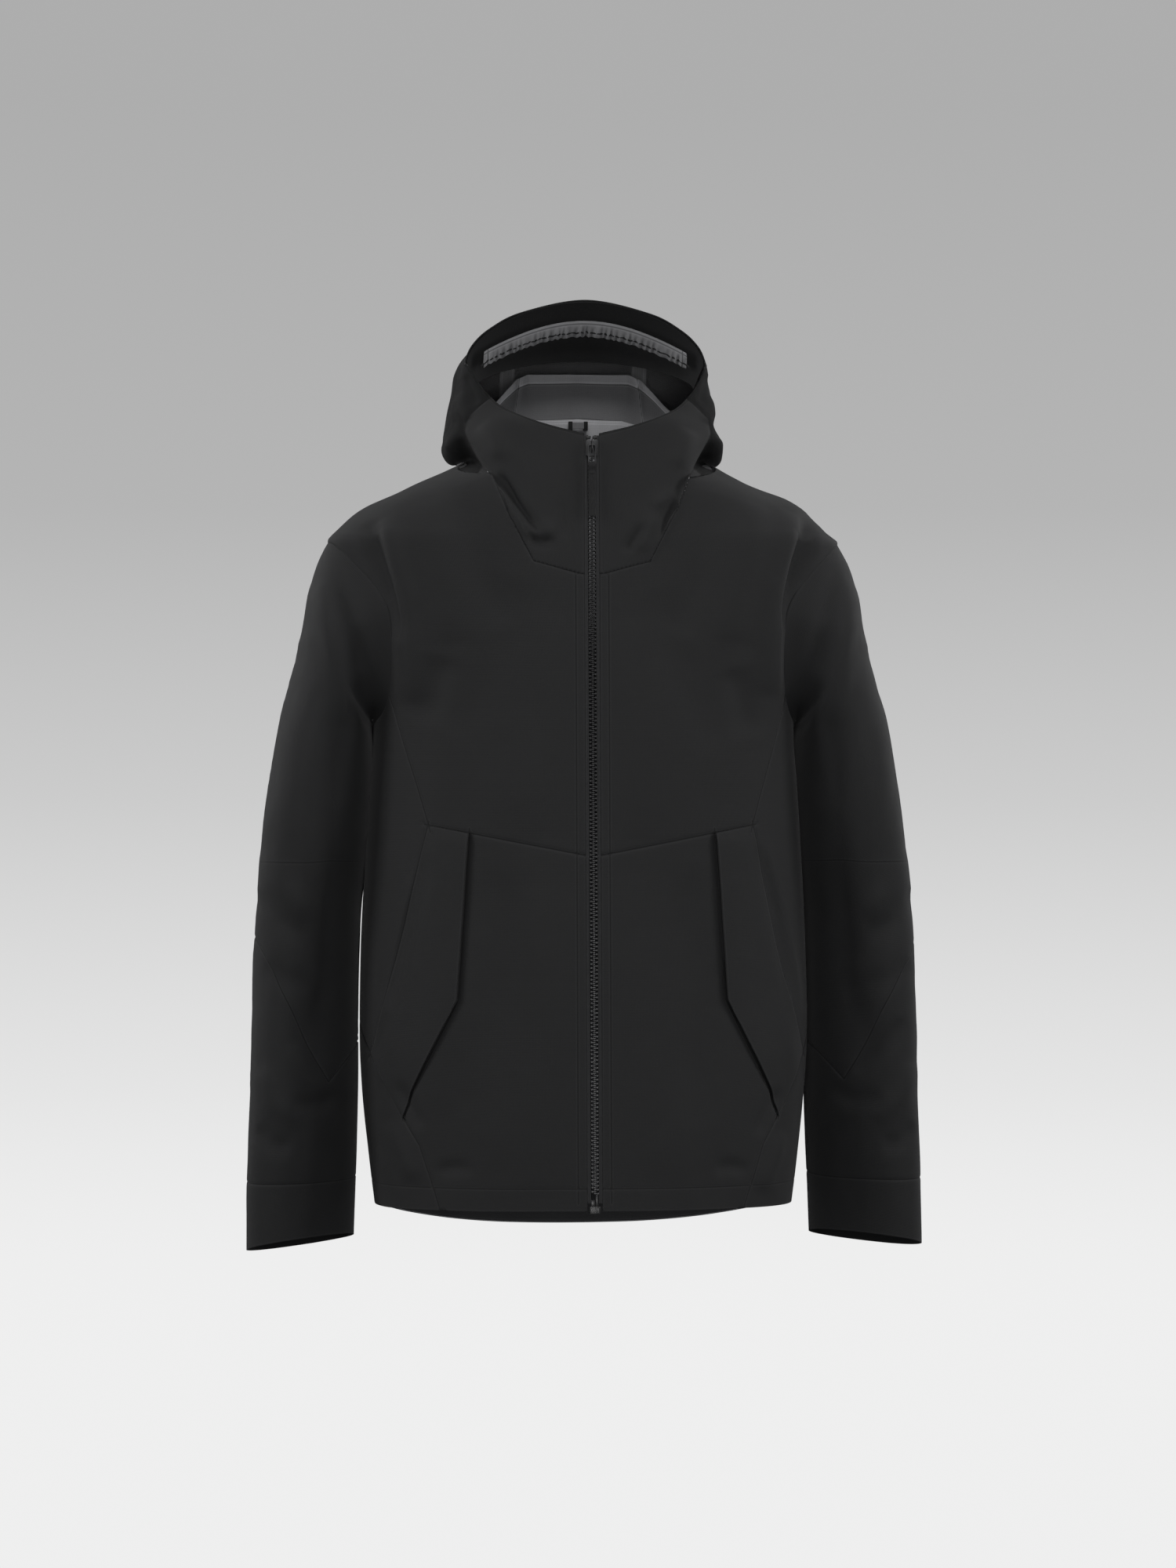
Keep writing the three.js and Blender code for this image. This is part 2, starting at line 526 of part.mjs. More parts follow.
// ---------------------------------------------------------------- front zip
function addZip() {
  const frame = new THREE.Group();
  frame.position.set(0, -ZIP_TOP_DEPTH, ZIP_TOP_Z);
  frame.rotation.x = -ZIP_LEAN;
  jacket.add(frame);
  const bottom = -ZIP_LENGTH;
  for (const [sideName, side] of [['left', 1], ['right', -1]]) {
    const sideBlock = ([x0, y0, z0], [x1, y1, z1]) => (
      side > 0 ? block([x0, y0, z0], [x1, y1, z1]) : block([-x1, y0, z0], [-x0, y1, z1]));
    addPiece(`zip_tape_${sideName}`, sideBlock([1, 2.6, bottom + 10], [11, 3.4, -2]), TAPE, frame);
    addPiece(`zip_chain_${sideName}`, sideBlock([0.6, -0.2, bottom + 14], [3.2, 2.2, -5]), MOULDED_TEETH, frame);
    addPiece(`zip_top_stop_${sideName}`, sideBlock([0.6, -0.2, -4.4], [4, 2.2, -2.2]), MOULDED_TEETH, frame);
  }
  addPiece('zip_insertion_pin', block([0.6, -0.2, bottom + 4.4], [2.6, 2.2, bottom + 13.4]), MOULDED_TEETH, frame);
  const boxBody = blockSolid([-4.6, -1, bottom - 3.4], [4.6, 3.2, bottom + 4])
    .add(blockSolid([-3.4, -0.4, bottom + 3.9], [0, 2.4, bottom + 9]));
  addPiece('zip_retainer_box', boxBody, MOULDED_TEETH, frame);
  addSlider(frame);
}

const SLIDER_TOP = -5.5;
const SLIDER_LENGTH = 15;

// Front and back plates joined by a thin post that runs between the two rows of teeth.
function addSlider(frame) {
  const low = SLIDER_TOP - SLIDER_LENGTH;
  const flange = (x) => blockSolid([x - 0.7, -2.4, low], [x + 0.7, 1.8, SLIDER_TOP]);
  const bridgePost = (z) => blockSolid([-1.3, -5.4, z - 0.9], [1.3, -2.3, z + 0.9]);
  const body = blockSolid([-5.2, -2.4, low], [5.2, -1, SLIDER_TOP])
    .add(flange(4.5))
    .add(flange(-4.5))
    .add(blockSolid([-5.2, 4, low], [5.2, 5.2, SLIDER_TOP]))
    .add(blockSolid([-0.28, -1.1, SLIDER_TOP - 5], [0.28, 4.1, SLIDER_TOP - 1]))
    .add(bridgePost(SLIDER_TOP - 3))
    .add(bridgePost(SLIDER_TOP - 9))
    .add(blockSolid([-1.3, -6.4, SLIDER_TOP - 9.9], [1.3, -5.3, SLIDER_TOP - 2.1]));
  addPiece('zip_slider', body, DARK_METAL, frame);
  const eyeZ = SLIDER_TOP - 6;
  const link = blockSolid([-3.4, -4.9, eyeZ - 16], [-2, -3.5, eyeZ + 1])
    .add(blockSolid([2, -4.9, eyeZ - 16], [3.4, -3.5, eyeZ + 1]))
    .add(blockSolid([-3.4, -4.9, eyeZ - 0.4], [3.4, -3.5, eyeZ + 1]))
    .add(blockSolid([-3.4, -4.9, eyeZ - 17.4], [3.4, -3.5, eyeZ - 15.9]));
  addPiece('zip_pull_link', link, DARK_METAL, frame);
  const loopTop = eyeZ - 14.8;
  const loopBottom = eyeZ - 21.2;
  const tab = blockSolid([-3.5, -5, eyeZ - 62], [3.5, -3.2, loopBottom + 0.6])
    .add(blockSolid([-1.6, -5.9, loopBottom], [1.6, -5.3, loopTop]))
    .add(blockSolid([-1.6, -3.1, loopBottom], [1.6, -2.5, loopTop]))
    .add(blockSolid([-1.6, -5.9, loopTop - 0.6], [1.6, -2.5, loopTop]))
    .add(blockSolid([-1.6, -5.9, loopBottom], [1.6, -2.5, loopBottom + 1]));
  addPiece('zip_pull_tab', tab, WEBBING, frame);
}

// ---------------------------------------------------------------- the jacket
addTorso();
addFacings();
addHangLoop();
addHood();
addBrimChannel();
addZip();
for (const [sideName, side] of [['left', 1], ['right', -1]]) {
  addPockets(sideName, side);
  addPocketSlider(sideName, side);
  addSleeve(sideName, side);
}

export default jacket;
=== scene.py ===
"""Hooded hardshell jacket: cloth panels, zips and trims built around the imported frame."""
import math

import bmesh
import bpy
import numpy as np
from mathutils import Matrix, Vector, kdtree, noise
from mathutils.geometry import delaunay_2d_cdt


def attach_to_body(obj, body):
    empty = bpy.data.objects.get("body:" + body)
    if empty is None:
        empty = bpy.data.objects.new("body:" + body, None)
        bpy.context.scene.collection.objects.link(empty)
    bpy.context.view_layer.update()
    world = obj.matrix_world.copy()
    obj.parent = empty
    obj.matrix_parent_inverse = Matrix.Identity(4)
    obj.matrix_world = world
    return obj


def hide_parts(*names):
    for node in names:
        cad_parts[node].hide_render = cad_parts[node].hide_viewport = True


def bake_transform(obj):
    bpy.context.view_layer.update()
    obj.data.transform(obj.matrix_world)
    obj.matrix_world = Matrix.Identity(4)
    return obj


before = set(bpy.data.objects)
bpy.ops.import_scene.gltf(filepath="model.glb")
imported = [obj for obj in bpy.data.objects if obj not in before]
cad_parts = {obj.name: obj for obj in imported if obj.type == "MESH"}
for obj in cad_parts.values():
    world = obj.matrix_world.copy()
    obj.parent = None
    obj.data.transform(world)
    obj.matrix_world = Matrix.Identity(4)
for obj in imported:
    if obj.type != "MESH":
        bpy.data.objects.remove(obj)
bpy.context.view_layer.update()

# Lengths are in millimetres until a mesh is made. The wearer's left is +X, the front -Y.
MM = 0.001
SIDES = (("left", 1), ("right", -1))
CLOTH = 0.8                 # thickness of the laminate
NO_SEAM = 20.0              # seam distance of cloth that shows no seam
PATTERN_STEP = 5.0          # spacing of the cloth's points away from its seams
SEAM_STEP = 3.2             # spacing of the points along a seam
SEAM_RINGS = (0.7, 1.7, 3.2)    # distances of the rows of points beside a seam
RING_CLEARANCE = 0.86       # share of its distance that a row keeps from other seams
FINE_STEP = 0.8             # spacing of the points that distances are measured to
GROOVE_WIDTH = 1.25

# The front zip lies in a plane that leans back a little. Its own frame starts at its top.
ZIP_TOP = (0, -98, -28)
ZIP_SLOPE = 0.0594
ZIP_LEAN = math.atan(ZIP_SLOPE)
ZIP_LENGTH = 678 / math.cos(ZIP_LEAN)
ZIP_HALF_OPENING = 6.5

# Torso sections from the hem up: half width, back depth, height at the front, side and back.
TORSO_SECTIONS = np.array([
    [188, 130, -707, -712, -748],
    [193, 131, -665, -668, -688],
    [199.5, 131.5, -605, -605, -605],
    [202, 132, -550, -550, -550],
    [201, 133, -480, -480, -480],
    [198, 134, -410, -410, -410],
    [194, 134, -345, -345, -345],
    [190, 133, -290, -290, -290],
    [195, 131, -245, -245, -245],
    [204, 128, -205, -205, -205],
    [215, 123, -168, -168, -168],
    [226, 117, -138, -138, -138],
    [231, 112, -119, -119, -119],
    [222, 110, -109, -109, -109],
    [198, 104, -88, -88, -88],
    [160, 97, -70, -70, -67],
    [128, 90, -60, -56, -42],
    [104, 80, -52, -42, -14],
    [97, 73, -45, -30, 0],
    [99, 69, -38, -10, 22],
])
SQUARENESS = 2.4

# Sleeve sections below the armhole: outer x, z, inner x, z, half depth, centre y, front lift.
SLEEVE_SECTIONS = np.array([
    [243, -150, 189.5, -288, 73, -2, 0],
    [253, -195, 189, -303, 75, -2, 0],
    [263, -245, 188.5, -330, 75, -2, 0],
    [274, -305, 191, -368, 73, -3, 0],
    [285, -368, 194.5, -408, 70, -4, 0],
    [293, -430, 199.5, -446, 66, -5, 0],
    [296, -480, 201.5, -484, 63, -7, 0],
    [298, -540, 203, -541, 60, -9, 0],
    [300, -605, 203, -605, 56, -11, 0],
    [301.5, -660, 204, -660, 51, -13, 2],
    [302.3, -702, 205.5, -699, 47, -14, 5],
    [302.7, -750, 207, -742, 44, -15, 8],
])
SLEEVE_TURN = 0.45          # how far the sleeve's outer side is turned to the front

# Seams as seen from the front, x and z, on the wearer's left.
ARMHOLE = [
    (230.5, -118.7), (213, -136), (200, -150), (186, -168), (178, -188),
    (175.5, -220), (177, -250), (182, -270), (190, -281),
]
CHEST_SEAM = [(3, -399), (9, -398), (146, -371.6)]
SIDE_PANEL_SEAM = [(141.9, -377), (160, -316), (171, -275), (186, -228)]
POCKET_SEAM = [(143.5, -370), (166, -466), (184, -540), (190, -562), (194, -577)]
HEM_SIDE_SEAM = [(203, -552), (192.8, -577), (167, -628), (152, -653), (134.6, -708), (130, -730)]
FLAP_EDGE = [(108, -376), (118, -524.7), (161, -612), (166.5, -632)]
POCKET_SLOT = [(121, -388), (130.5, -388), (139.5, -536), (130, -536), (121, -388)]
CHIN_SEAM = [(2, -152.3), (12, -151), (51, -140.6), (74, -96), (86, -65)]
YOKE_SEAM = [(215, -172), (120, -190), (0, -196), (-120, -190), (-215, -172)]
SIDE_SEAM_Y = 45
SHOULDER_SEAM_Y = 8
ELBOW_SEAM = [(312, -448), (296, -472), (262, -536), (230, -600), (218, -586), (196, -562)]
ELBOW_JOIN_Z = -405
CUFF_STITCH_Z = -689
HEM_STITCH = 24.0           # stitching above the hem
ZIP_STITCH = 8.0            # stitching beside the front zip
SIDE_SEAM_TOP = 8.6         # in torso sections
SIDE_SEAM_AT_HEM_PANEL = 3.35
SHOULDER_SEAM_ENDS = (11.3, 17.9)

# How far cloth lies from the torso's surface: inward is negative.
FLAP_DIP = -1.8             # the front panel's dip under the flap's edge
FLAP_DIP_WIDTH = 1.2
FLAP_CLOTH = 1.3            # thickness of the flap's folded cloth
SURROUND_HEIGHT = -2.6
FACING_HEIGHT = -1.6
BAG_HEIGHT = -3.6


# ---------------------------------------------------------------- curves and surfaces
def spline(rows, t, line_each=False):
    """Smooth line through the rows, at places t counted in rows.
    With line_each every point has a line of its own: rows is then row, point, axis."""
    rows = np.asarray(rows, float)
    t = np.asarray(t, float)
    i = np.clip(np.floor(t).astype(int), 0, len(rows) - 2)
    padded = np.concatenate([[2 * rows[0] - rows[1]], rows, [2 * rows[-1] - rows[-2]]])
    own = (np.arange(len(t)),) if line_each else ()
    a, b, c, d = (padded[(i + k, *own)] for k in range(4))
    f = (t - i).reshape((-1,) + (1,) * (b.ndim - 1))
    return b + 0.5 * f * (c - a + f * (2 * a - 5 * b + 4 * c - d + f * (3 * (b - c) + d - a)))


def run_length(line):
    """Length along a line up to each of its points."""
    return np.concatenate([[0], np.cumsum(np.linalg.norm(np.diff(line, axis=0), axis=1))])


def unit(vectors):
    return vectors / np.maximum(np.linalg.norm(vectors, axis=-1, keepdims=True), 1e-9)


def resample(line, step):
    """A polyline with its corners kept and points added no further apart than step."""
    line = np.asarray(line, float)
    out = [line[:1]]
    for a, b in zip(line[:-1], line[1:]):
        count = max(1, int(math.ceil(np.linalg.norm(b - a) / step)))
        out.append(a + (b - a) * (np.arange(1, count + 1) / count)[:, None])
    return np.concatenate(out)


def along(line, share):
    """Points of a polyline at shares 0 to 1 of its length."""
    line = np.asarray(line, float)
    run = run_length(line)
    return np.stack([np.interp(np.asarray(share) * run[-1], run, c) for c in line.T], axis=-1)


def tree_of(places):
    """A search tree over two-dimensional places."""
    tree = kdtree.KDTree(len(places))
    for i, (u, v) in enumerate(places):
        tree.insert((u, v, 0), i)
    tree.balance()
    return tree


def nearest(tree, places):
    """For each place, the number of the nearest place in the tree and the distance to it."""
    found = [tree.find((u, v, 0)) for u, v in places]
    return np.array([hit[1] for hit in found], int), np.array([hit[2] for hit in found])


def power(value, exponent):
    return np.sign(value) * np.abs(value) ** exponent


def smooth(value, low, high):
    t = np.clip((value - low) / (high - low), 0, 1)
    return t * t * (3 - 2 * t)


def quarter_table():
    """Share of the way from the front to the side against the section's own angle."""
    angle = np.linspace(0, math.pi / 2, 600)
    x = 198 * np.sin(angle) ** (2 / SQUARENESS)
    y = 122 * np.cos(angle) ** (2 / SQUARENESS)
    run = np.concatenate([[0], np.cumsum(np.hypot(np.diff(x), np.diff(y)))])
    return angle, run / run[-1], run[-1]


QUARTER_ANGLE, QUARTER_SHARE, QUARTER = quarter_table()
TORSO_ROUND = 4 * QUARTER       # the flat torso's width; QUARTER is the place of the side


def torso_at(turn, section):
    """Torso surface. turn: 0 front, 1 wearer's left, 2 back, 3 right, 4 front again."""
    folded = np.where(turn % 2 < 1, turn % 1, 1 - turn % 1)
    angle = np.interp(folded, QUARTER_SHARE, QUARTER_ANGLE)
    sideways = np.where(turn < 2, 1, -1) * np.sin(angle) ** (2 / SQUARENESS)
    forward = np.where((turn < 1) | (turn > 3), 1, -1) * np.cos(angle) ** (2 / SQUARENESS)
    width, back, z_front, z_side, z_back = spline(TORSO_SECTIONS, section).T
    depth = np.where(forward > 0, -ZIP_TOP[1] + (ZIP_TOP[2] - z_front) * ZIP_SLOPE, back)
    end = np.where(forward > 0, z_front, z_back)
    z = z_side + (end - z_side) * np.abs(forward) ** 1.5
    return np.stack([width * sideways, -depth * forward, z], axis=-1)


def section_run(surface, turns, count):
    """Length along the surface up to each section, averaged over some lines across them."""
    rows = np.arange(count, dtype=float)
    total = np.zeros(count - 1)
    for turn in turns:
        points = surface(np.full(count, turn), rows)
        total += np.linalg.norm(np.diff(points, axis=0), axis=1)
    return np.concatenate([[0], np.cumsum(total / len(turns))])


TORSO_RUN = section_run(torso_at, (0.3, 0.7, 1.3, 1.7), len(TORSO_SECTIONS))


def torso(flat):
    section = np.interp(flat[:, 1], TORSO_RUN, np.arange(len(TORSO_RUN)))
    return torso_at(np.clip(flat[:, 0] / QUARTER, 0, 4), section)


def sleeve_loop(turn, front, back):
    """A ring of the sleeve from its two halves. turn: 0 shoulder tip, 4 front, 8 armpit, 12 back."""
    down = np.where(turn <= 8, turn, 16 - turn) / 8
    on_front = (turn <= 8)[:, None]
    return np.where(on_front, along(front, down), along(back, down))


def sleeve_at(turn, row):
    """Sleeve surface of the wearer's left. row: 0 armhole, then the sleeve sections."""
    turn = turn % 16
    angle = turn * math.pi / 8
    outer_x, outer_z, inner_x, inner_z, depth, centre_y, lift = SLEEVE_SECTIONS.T[:, :, None]
    out = power(np.cos(angle), 0.9)
    forward = power(np.sin(angle), 0.9)
    x = (outer_x + inner_x) / 2 + (outer_x - inner_x) / 2 * out
    z = (outer_z + inner_z) / 2 + (outer_z - inner_z) / 2 * out + lift * forward
    turned = SLEEVE_TURN * smooth(-z, 170, 340) * (outer_x - inner_x) / 2 * out
    y = centre_y - depth * forward - turned
    armhole = sleeve_loop(turn, ARMHOLE_FRONT, ARMHOLE_BACK)[None]
    return spline(np.concatenate([armhole, np.stack([x, y, z], axis=-1)]), row, line_each=True)


SEARCH_GRID = (260, 220)
SLOPE_STEP = 0.2            # step over which a surface's slope is measured
LONGEST_MOVE = 2.5
DAMPING = 0.8
SEEN_FROM_FRONT = [0, 2]    # the axes x and z


def locate(surface, size, targets, keep, steps=12):
    """Flat places of the surface points that are seen at the targets from the front.
    keep(points, grid) says which points of a coarse grid may be the starting guess."""
    u, v = (np.linspace(0, length, count) for length, count in zip(size, SEARCH_GRID))
    grid = np.stack([axis.ravel() for axis in np.meshgrid(u, v)], axis=-1)
    points = surface(grid)
    usable = keep(points, grid)
    grid, points = grid[usable], points[usable]
    targets = np.asarray(targets, float)
    flat = grid[nearest(tree_of(points[:, SEEN_FROM_FRONT]), targets)[0]]

    def seen(places):
        return surface(places)[:, SEEN_FROM_FRONT]

    for _ in range(steps):
        here = seen(flat)
        miss = targets - here
        by_u = (seen(flat + (SLOPE_STEP, 0)) - here) / SLOPE_STEP
        by_v = (seen(flat + (0, SLOPE_STEP)) - here) / SLOPE_STEP
        det = by_u[:, 0] * by_v[:, 1] - by_u[:, 1] * by_v[:, 0]
        det = np.where(np.abs(det) < 0.05, np.sign(det + 1e-12) * 0.05, det)
        du = (miss[:, 0] * by_v[:, 1] - miss[:, 1] * by_v[:, 0]) / det
        dv = (by_u[:, 0] * miss[:, 1] - by_u[:, 1] * miss[:, 0]) / det
        move = np.stack([du, dv], axis=-1)
        length = np.linalg.norm(move, axis=1, keepdims=True)
        moved = flat + move * np.minimum(1, LONGEST_MOVE / np.maximum(length, 1e-9)) * DAMPING
        moved = np.clip(moved, 0, size)
        better = np.linalg.norm(targets - seen(moved), axis=1) < np.linalg.norm(miss, axis=1)
        flat = np.where(better[:, None], moved, flat)
    return flat


TORSO_SIZE = (TORSO_ROUND, TORSO_RUN[-1])
COLLAR_SECTION = 17.6       # above it nothing is looked up from the front or the back


def section_height(section):
    """Height of a torso section on the flat pattern."""
    return np.interp(section, np.arange(len(TORSO_RUN)), TORSO_RUN)


def on_torso(line, back=False, step=SEAM_STEP):
    """A line seen from the front, as a line on the flat torso pattern."""
    def keep(points, grid):
        low = grid[:, 1] < section_height(COLLAR_SECTION)
        return low & ((points[:, 1] > 0) if back else (points[:, 1] < 0))
    return locate(torso, TORSO_SIZE, resample(line, step), keep)


def mirrored(flat):
    return np.stack([TORSO_ROUND - flat[:, 0], flat[:, 1]], axis=-1)


ARMHOLE_CURVE = spline(ARMHOLE, np.linspace(0, len(ARMHOLE) - 1, 60))


def armhole_half(back):
    """Half of the armhole seam, from the shoulder tip to the armpit, on the flat pattern."""
    flat = on_torso(ARMHOLE_CURVE, back, step=50)
    ends = [(QUARTER, flat[0, 1]), (QUARTER, flat[-1, 1])]
    return resample(np.concatenate([ends[:1], flat, ends[1:]]), SEAM_STEP)


ARMHOLE_FLAT = [armhole_half(False), armhole_half(True)]
ARMHOLE_FRONT, ARMHOLE_BACK = (torso(flat) for flat in ARMHOLE_FLAT)
CHEST_MIDDLE = (100, 0, -230)
TUCK_WIDTH = 3.0
TUCK_DEPTH = 1.3


def under_edge(flat):
    """The edge of the sleeve's seam allowance, which lies under the torso's edge."""
    away = unit(flat - (QUARTER, flat[:, 1].mean()))
    points = torso(flat + TUCK_WIDTH * away)
    return points + TUCK_DEPTH * unit(CHEST_MIDDLE - points)


TUCKED_FRONT, TUCKED_BACK = (under_edge(flat) for flat in ARMHOLE_FLAT)


# ---------------------------------------------------------------- cutting patterns
def overrun(line, length=1.5):
    """The line made a little longer at both ends, so that it surely crosses what it ends on."""
    moves = np.linalg.norm(np.diff(line, axis=0), axis=1) > 1e-6
    line = line[np.concatenate([[True], moves])]
    before = line[0] + unit(line[0] - line[1]) * length
    after = line[-1] + unit(line[-1] - line[-2]) * length
    return np.concatenate([[before], line, [after]])


class Pattern:
    """A flat pattern cut into panels along its seams, and the surface that it is worn on."""

    def __init__(self, surface, outline, seams, creases=(), step=PATTERN_STEP):
        """seams and creases: lists of (flat line, groove depth). A crease doesn't cut."""
        self.surface = surface
        lines = [resample(outline, SEAM_STEP)] + [overrun(line) for line, _ in seams]
        depths = [0.0] + [depth for _, depth in seams]
        fine = [resample(line, FINE_STEP) for line in lines + [crease for crease, _ in creases]]
        depths = np.repeat(depths + [depth for _, depth in creases], [len(line) for line in fine])
        self.tree = tree_of(np.concatenate(fine))
        points, edges = [], []
        for line in lines:
            start = sum(len(p) for p in points)
            points.append(line)
            edges += [(start + i, start + i + 1) for i in range(len(line) - 1)]
        for line in lines + [line for line, _ in creases]:
            points += self.rings(line)
        points += [line for line, _ in creases]
        low, high = np.min(lines[0], axis=0), np.max(lines[0], axis=0)
        points.append(self.grid(low, high, step))
        flat = [Vector(p) for p in np.concatenate(points)]
        verts, out_edges, faces, _, from_edges, _ = delaunay_2d_cdt(flat, edges, [], 1, 1e-3)
        self.flat = np.array([tuple(v) for v in verts])
        self.faces = np.array([f for f in faces if len(f) == 3])
        cut = {tuple(sorted(e)) for e, source in zip(out_edges, from_edges) if source}
        self.group = self.flood(cut)
        closest, self.seam_distance = nearest(self.tree, self.flat)
        self.groove = depths[closest]

    def rings(self, line):
        """Rows of points beside a seam, so that its groove has a clean section."""
        if len(line) < 3:
            return []
        ahead = np.gradient(line, axis=0)
        normal = unit(np.stack([-ahead[:, 1], ahead[:, 0]], axis=-1))
        out = []
        for ring in SEAM_RINGS:
            for side in (1, -1):
                row = line + normal * ring * side
                out.append(row[nearest(self.tree, row)[1] > RING_CLEARANCE * ring])
        return out

    def grid(self, low, high, step):
        rows = []
        for i, v in enumerate(np.arange(low[1] + step / 2, high[1], step * 0.87)):
            u = np.arange(low[0] + step * (0.5 if i % 2 else 1.0), high[0], step)
            rows.append(np.stack([u, np.full(len(u), v)], axis=-1))
        rows = np.concatenate(rows)
        return rows[nearest(self.tree, rows)[1] > SEAM_RINGS[-1] + step * 0.45]

    def flood(self, cut):
        """A number for each triangle: those with the same number are one panel."""
        owner = {}
        links = [[] for _ in self.faces]
        for f, face in enumerate(self.faces):
            for k in range(3):
                edge = tuple(sorted((int(face[k]), int(face[(k + 1) % 3]))))
                if edge in cut:
                    continue
                if edge in owner:
                    links[f].append(owner[edge])
                    links[owner[edge]].append(f)
                else:
                    owner[edge] = f
        group = np.full(len(self.faces), -1)
        count = 0
        for f in range(len(self.faces)):
            if group[f] >= 0:
                continue
            stack = [f]
            group[f] = count
            while stack:
                for other in links[stack.pop()]:
                    if group[other] < 0:
                        group[other] = count
                        stack.append(other)
            count += 1
        return group

    def group_at(self, place):
        middle = self.flat[self.faces].mean(axis=1)
        return self.group[np.argmin(np.linalg.norm(middle - np.asarray(place), axis=1))]

    def wear(self, relief, mirror=False):
        """Puts every flat point on the body: relief(points, normals, flat) is its height."""
        def place(flat):
            points = self.surface(flat)
            return points * (-1, 1, 1) if mirror else points
        points = place(self.flat)
        by_u = place(self.flat + (0.4, 0)) - place(self.flat - (0.4, 0))
        by_v = place(self.flat + (0, 0.4)) - place(self.flat - (0, 0.4))
        normals = unit(np.cross(by_u, by_v))
        self.inside_out = np.sum(normals * (points - points.mean(axis=0))) < 0
        if self.inside_out:
            normals = -normals
        self.normals = normals
        height = relief(points, normals, self.flat)
        height -= self.groove * np.exp(-(self.seam_distance / GROOVE_WIDTH) ** 2)
        self.outer = points + normals * height[:, None]

    def panel(self, name, places, materials, lift=None, thickness=CLOTH):
        """The mesh of the panels that hold these flat places, and how large it was cut."""
        groups = {self.group_at(p) for p in places}
        faces = self.faces[np.isin(self.group, list(groups))]
        used, index = np.unique(faces, return_inverse=True)
        faces = index.reshape(faces.shape)
        raised = 0 if lift is None else lift[used][:, None]
        outer = self.outer[used] + self.normals[used] * raised
        depth = np.broadcast_to(thickness, len(self.flat))[used][:, None]
        inner = outer - self.normals[used] * depth
        obj = cloth_mesh(name, outer, inner, faces, materials, self.flat[used],
                         self.seam_distance[used], self.inside_out)
        flat = self.flat[used]
        area = surface_area(self.surface(flat), faces)
        flat_area = surface_area(np.pad(flat, ((0, 0), (0, 1))), faces)
        span = (flat.max(axis=0) - flat.min(axis=0)) * math.sqrt(area / flat_area)
        return obj, span, area


def surface_area(points, faces):
    a, b, c = (points[faces[:, i]] for i in range(3))
    return np.linalg.norm(np.cross(b - a, c - a), axis=1).sum() / 2


def add_object(name, data):
    obj = bpy.data.objects.new(name, data)
    bpy.context.scene.collection.objects.link(obj)
    return obj


def attach(piece, bodies, slot, *nodes):
    if isinstance(bodies, str):
        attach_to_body(piece, bodies)
    else:
        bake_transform(piece)
    if nodes:
        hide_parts(*nodes)


def cloth_mesh(name, outer, inner, faces, materials, flat, seam_distance, flip=False):
    """A thin closed sheet: its face side, its back and the walls along its edges."""
    if flip:
        faces = faces[:, ::-1]
    count = len(outer)
    directed = np.concatenate([faces[:, [0, 1]], faces[:, [1, 2]], faces[:, [2, 0]]])
    known = {(int(a), int(b)) for a, b in directed}
    rim = [(a, b) for a, b in known if (b, a) not in known]
    rim.sort()
    walls = [(b, a, a + count, b + count) for a, b in rim]
    mesh = bpy.data.meshes.new(name)
    back = faces[:, ::-1] + count
    mesh.from_pydata(np.concatenate([outer, inner]) * MM, [],
                     [*faces.tolist(), *back.tolist(), *walls])
    for material in materials:
        mesh.materials.append(material)
    index = np.zeros(len(mesh.polygons), np.int32)
    index[len(faces):2 * len(faces)] = len(materials) - 1
    mesh.polygons.foreach_set("material_index", index)
    mesh.polygons.foreach_set("use_smooth", np.ones(len(mesh.polygons), bool))
    attribute = mesh.attributes.new("seam_distance", "FLOAT", "POINT")
    attribute.data.foreach_set("value", np.tile(seam_distance, 2).astype(np.float32))
    uv = mesh.uv_layers.new(name="pattern")
    loops = np.zeros(len(mesh.loops), np.int32)
    mesh.loops.foreach_get("vertex_index", loops)
    uv.data.foreach_set("uv", (np.tile(flat, (2, 1))[loops] * MM).ravel())
    mesh.update()
    sharp = {tuple(sorted(e)) for e in rim}
    sharp |= {(a + count, b + count) for a, b in sharp}
    pairs = np.zeros(len(mesh.edges) * 2, np.int32)
    mesh.edges.foreach_get("vertices", pairs)
    marks = [tuple(sorted(p)) in sharp for p in pairs.reshape(-1, 2).tolist()]
    mesh.attributes.new("sharp_edge", "BOOLEAN", "EDGE").data.foreach_set("value", marks)
    return add_object(name, mesh)


def sew(pattern, name, places, materials, bodies, nodes, slot="shell_fabric", held="hung", **shape):
    """Cuts one piece of cloth from a pattern, parents it to its body when a body is named, and hides the
    frame's parts that it stands in for.
    """
    piece, span, area = pattern.panel(name, places, materials, **shape)
    attach(piece, bodies, slot, *nodes)


# ---------------------------------------------------------------- relief
def noise_field(points, scale, seed):
    """Smooth noise from -1 to 1. scale: size of its lumps along x, y and z."""
    offset = Vector((seed * 17.3, seed * 5.1, seed * 11.7))
    scaled = points / np.asarray(scale, float)
    return np.array([noise.noise(Vector(p) + offset) for p in scaled])


